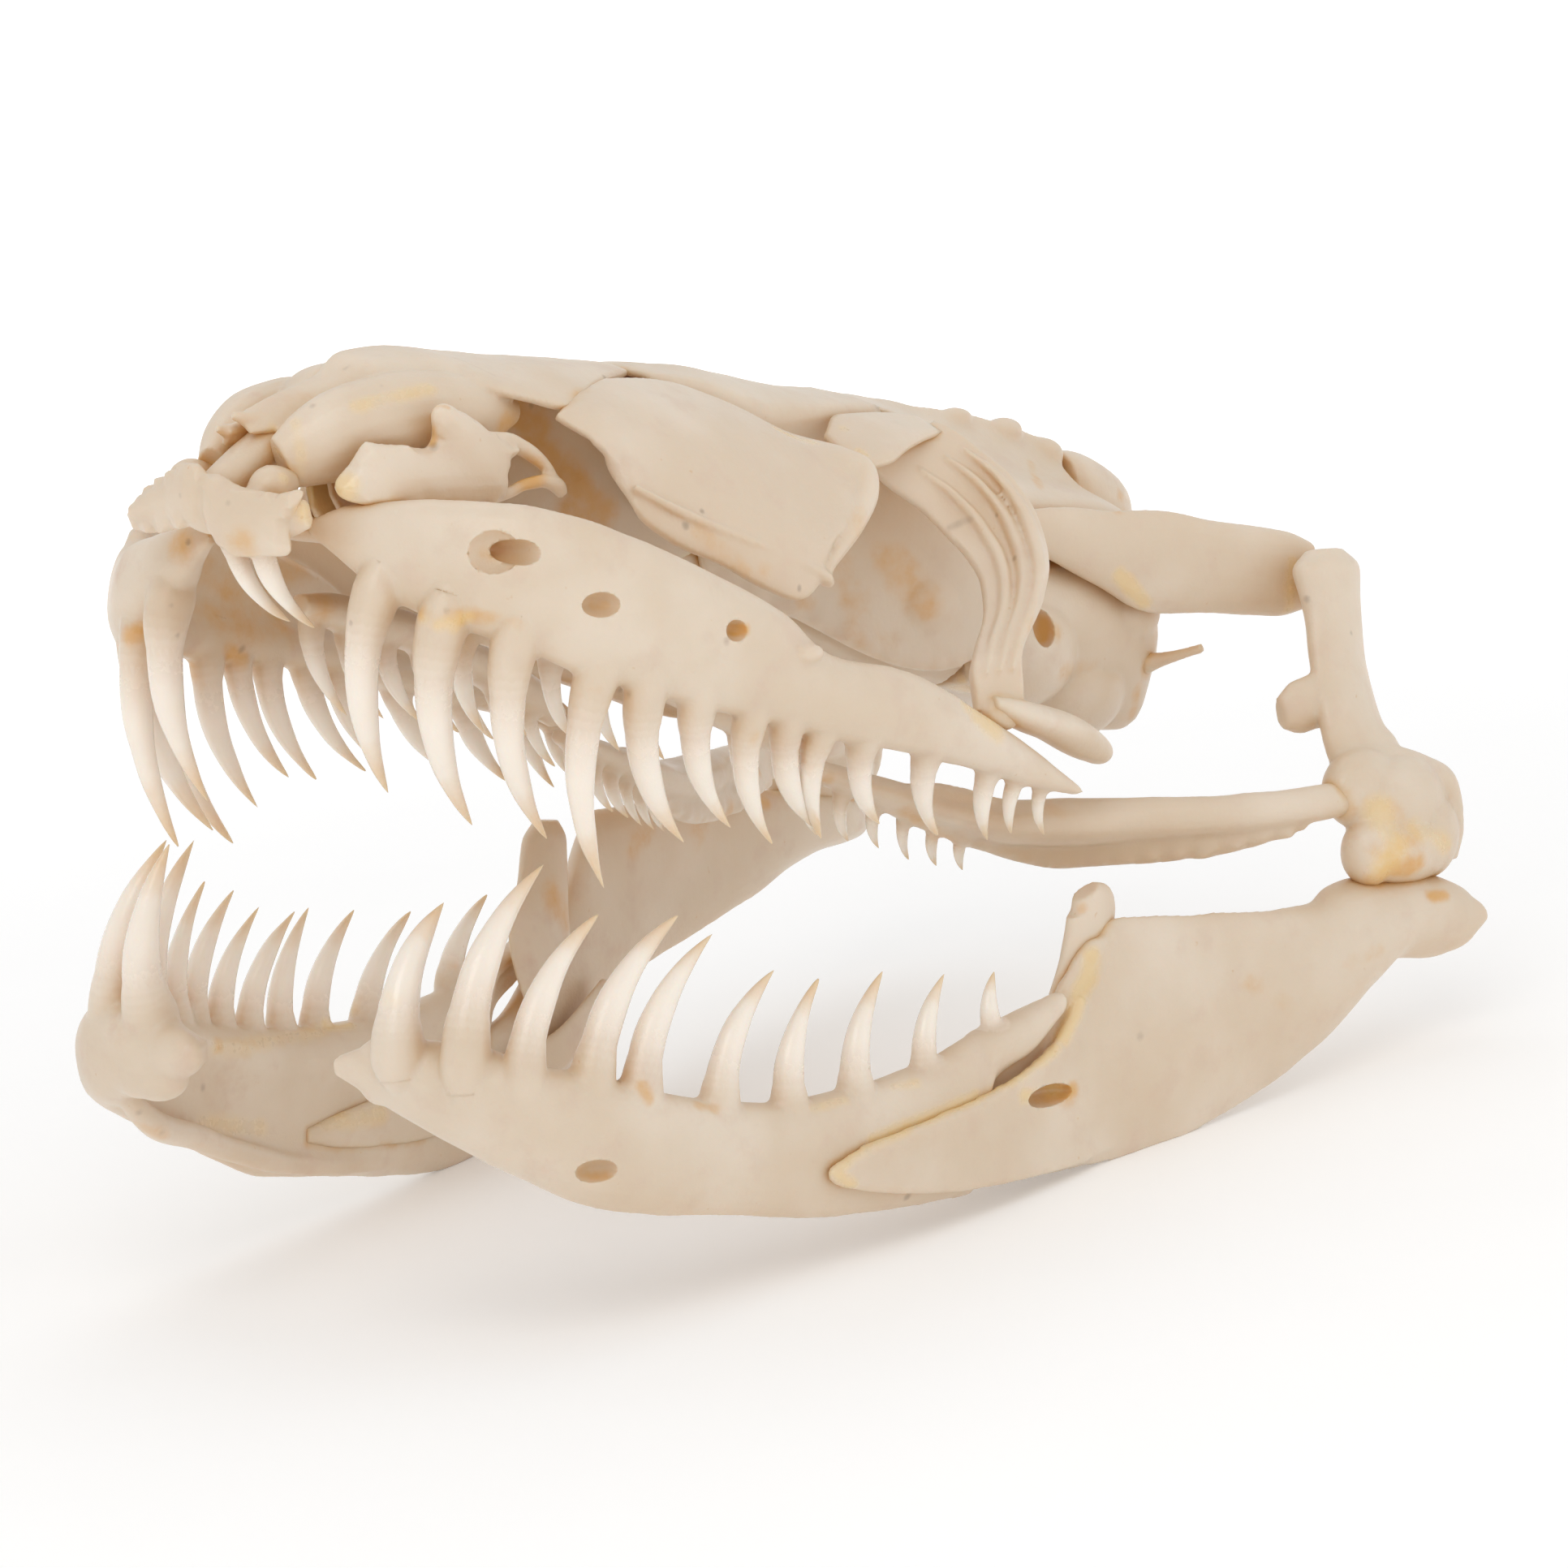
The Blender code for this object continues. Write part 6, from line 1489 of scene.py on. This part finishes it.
def bone_material(name, seed, shade_warmth):
    """Polished dry bone with painted shade in its hollows, glue, amber staining that is partly painted
    shade, grime, and glossy teeth.
    """
    tree = Tree(name)
    place_on_skull = tree.node("ShaderNodeTexCoord").outputs["Object"]
    shift = tree.node("ShaderNodeMapping", {"Vector": place_on_skull})
    shift.inputs["Location"].default_value = [seed * step for step in PATTERN_STEP]
    spot = shift.outputs["Vector"]
    stains_and_shade, enamel = tree.painted("stain_and_shade"), tree.painted("enamel")
    patchy = tree.noise(spot, PATCHY_SCALE, 4.0, 0.6)
    fine = tree.noise(spot, FINE_SCALE, 4.0, 0.6)
    grain = tree.noise(spot, GRAIN_SCALE, 2.0)
    ragged = tree.math("SUBTRACT", patchy, 0.5)

    # Bone colour with painted shade in the hollows
    colour = bare_colour(tree, spot, place_on_skull, patchy, shade_warmth)
    # Glue, amber staining with painted shade, and grime
    colour = marked_colour(tree, colour, stains_and_shade, ragged)
    colour = enamel_colour(tree, colour, enamel, ragged)
    speckle = tree.span(tree.noise(spot, SPECKLE_SCALE, 2.0), 0.74, 0.8)
    colour = tree.mix(tree.times(speckle, 0.5), colour, TAN_SHADE_AND_SPECKLE)

    roughness = tree.plus(tree.times(fine, 0.22), 0.3)
    roughness = tree.math("SUBTRACT", roughness, tree.times(enamel["Red"], 0.2))
    roughness = tree.math("SUBTRACT", roughness, tree.times(stains_and_shade["Red"], 0.25), True)
    height = tree.plus(tree.times(fine, 0.6), tree.times(grain, 0.25))
    height = tree.plus(height, tree.times(patchy, 1.2))
    bump = tree.node("ShaderNodeBump", {"Height": height})
    bump.inputs["Strength"].default_value = BUMP_STRENGTH
    bump.inputs["Distance"].default_value = BUMP_DEPTH
    shader = tree.node("ShaderNodeBsdfPrincipled", {
        "Base Color": colour,
        "Roughness": roughness,
        "Normal": bump.outputs["Normal"],
        "IOR": 1.5,
        "Subsurface Weight": 0.25,
        "Subsurface Radius": (1.0, 0.55, 0.35),
        "Subsurface Scale": 0.002,
        "Coat Weight": 0.12,
        "Coat Roughness": 0.18,
    })
    tree.node("ShaderNodeOutputMaterial", {"Surface": shader.outputs["BSDF"]})
    return tree.material


def floor_material():
    """A near-white floor that glows a little more further out."""
    tree = Tree("pale_floor")
    place_node = tree.node("ShaderNodeTexCoord")
    mottled = tree.noise(place_node.outputs["Object"], 40.0, 3.0)
    colour = tree.mix(mottled, (0.95, 0.95, 0.95, 1.0), (0.97, 0.97, 0.97, 1.0))
    shader = tree.node("ShaderNodeBsdfPrincipled", {"Base Color": colour, "Roughness": 0.6})
    shader.inputs["Specular IOR Level"].default_value = 0.1
    shader.inputs["Emission Color"].default_value = (1.0, 1.0, 1.0, 1.0)
    away = tree.node("ShaderNodeVectorMath", {0: place_node.outputs["Object"]}, operation="LENGTH")
    glow = tree.span(away.outputs["Value"], *GLOW_SPAN, *GLOW_STRENGTHS)
    tree.link(glow, shader.inputs["Emission Strength"])
    tree.node("ShaderNodeOutputMaterial", {"Surface": shader.outputs["BSDF"]})
    return tree.material


# Stage, light and camera

# Name, place, size in metres, power in watts and colour of each lamp, and the point that all light
LAMPS = (
    ("key", (-0.45, -0.35, 0.6), 0.4, 1.0, (1.0, 0.985, 0.96)),
    ("fill", (0.4, -0.6, 0.3), 0.5, 0.3, (0.97, 0.985, 1.0)),
    ("top", (0.1, 0.25, 0.7), 0.5, 0.4, (1.0, 1.0, 1.0)),
)
LIT_POINT = (0.0, 0.0, 0.045)
WORLD_STRENGTH = 0.76


def make_floor():
    far = FLOOR_REACH
    corners = [(-far, -far, 0), (far, -far, 0), (far, far, 0), (-far, far, 0)]
    floor = new_object("floor", corners, [(0, 1, 2, 3)])
    floor.data.materials.append(floor_material())


def make_camera():
    """The camera of the photograph."""
    eye, *axes = camera_axes()
    start = place((0.0, 0.0, 0.0), RIGHT)
    columns = [(place(axis, RIGHT) - start) / MM for axis in axes]
    rows = [[*row, spot] for row, spot in zip(np.array(columns).T, place(eye, RIGHT))]
    matrix = Matrix(rows + [[0, 0, 0, 1]])
    data = bpy.data.cameras.new("camera")
    data.sensor_width = SENSOR_WIDTH
    data.lens = SENSOR_WIDTH * PIXELS_PER_MM * CAMERA_DISTANCE / IMAGE_WIDTH
    data.clip_start = 0.01
    camera = bpy.data.objects.new("camera", data)
    camera.matrix_world = matrix
    bpy.context.scene.collection.objects.link(camera)
    bpy.context.scene.camera = camera


def make_lamp(name, spot, size, power, tint):
    data = bpy.data.lights.new(name, "AREA")
    data.size = size
    data.energy = power
    data.color = tint
    lamp = bpy.data.objects.new(name, data)
    lamp.location = spot
    lamp.rotation_euler = (Vector(LIT_POINT) - Vector(spot)).to_track_quat("-Z", "Y").to_euler()
    bpy.context.scene.collection.objects.link(lamp)


def make_light():
    world = bpy.data.worlds.new("studio")
    world.use_nodes = True
    background = world.node_tree.nodes["Background"]
    background.inputs["Color"].default_value = (1.0, 1.0, 1.0, 1.0)
    background.inputs["Strength"].default_value = WORLD_STRENGTH
    bpy.context.scene.world = world
    for lamp in LAMPS:
        make_lamp(*lamp)
    bpy.context.scene.view_settings.view_transform = "Standard"


# The whole scene

def main():
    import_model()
    box_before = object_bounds()
    bones = make_bones()
    for seed, (name, bone) in enumerate(bones.items()):
        roughen(bone, ROUGHNESS_SIZE, ROUGHNESS_HEIGHT, seed)
        keep_inside(bone, box_before)
        bone.name = f"{name}_bone"
        bone.data.name = bone.name
        bone.data.polygons.foreach_set("use_smooth", [True] * len(bone.data.polygons))
        bone.data.materials.clear()
        bone.data.materials.append(bone_material(f"{name}_material", seed, SHADED_BONE_WARMTH.get(name, USUAL_SHADE_WARMTH)))
        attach(bone, "root")
        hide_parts(name)
    paint_stains_and_shade(bones)
    paint_enamel(bones)
    make_floor()
    make_light()
    make_camera()
    bpy.context.view_layer.update()


main()
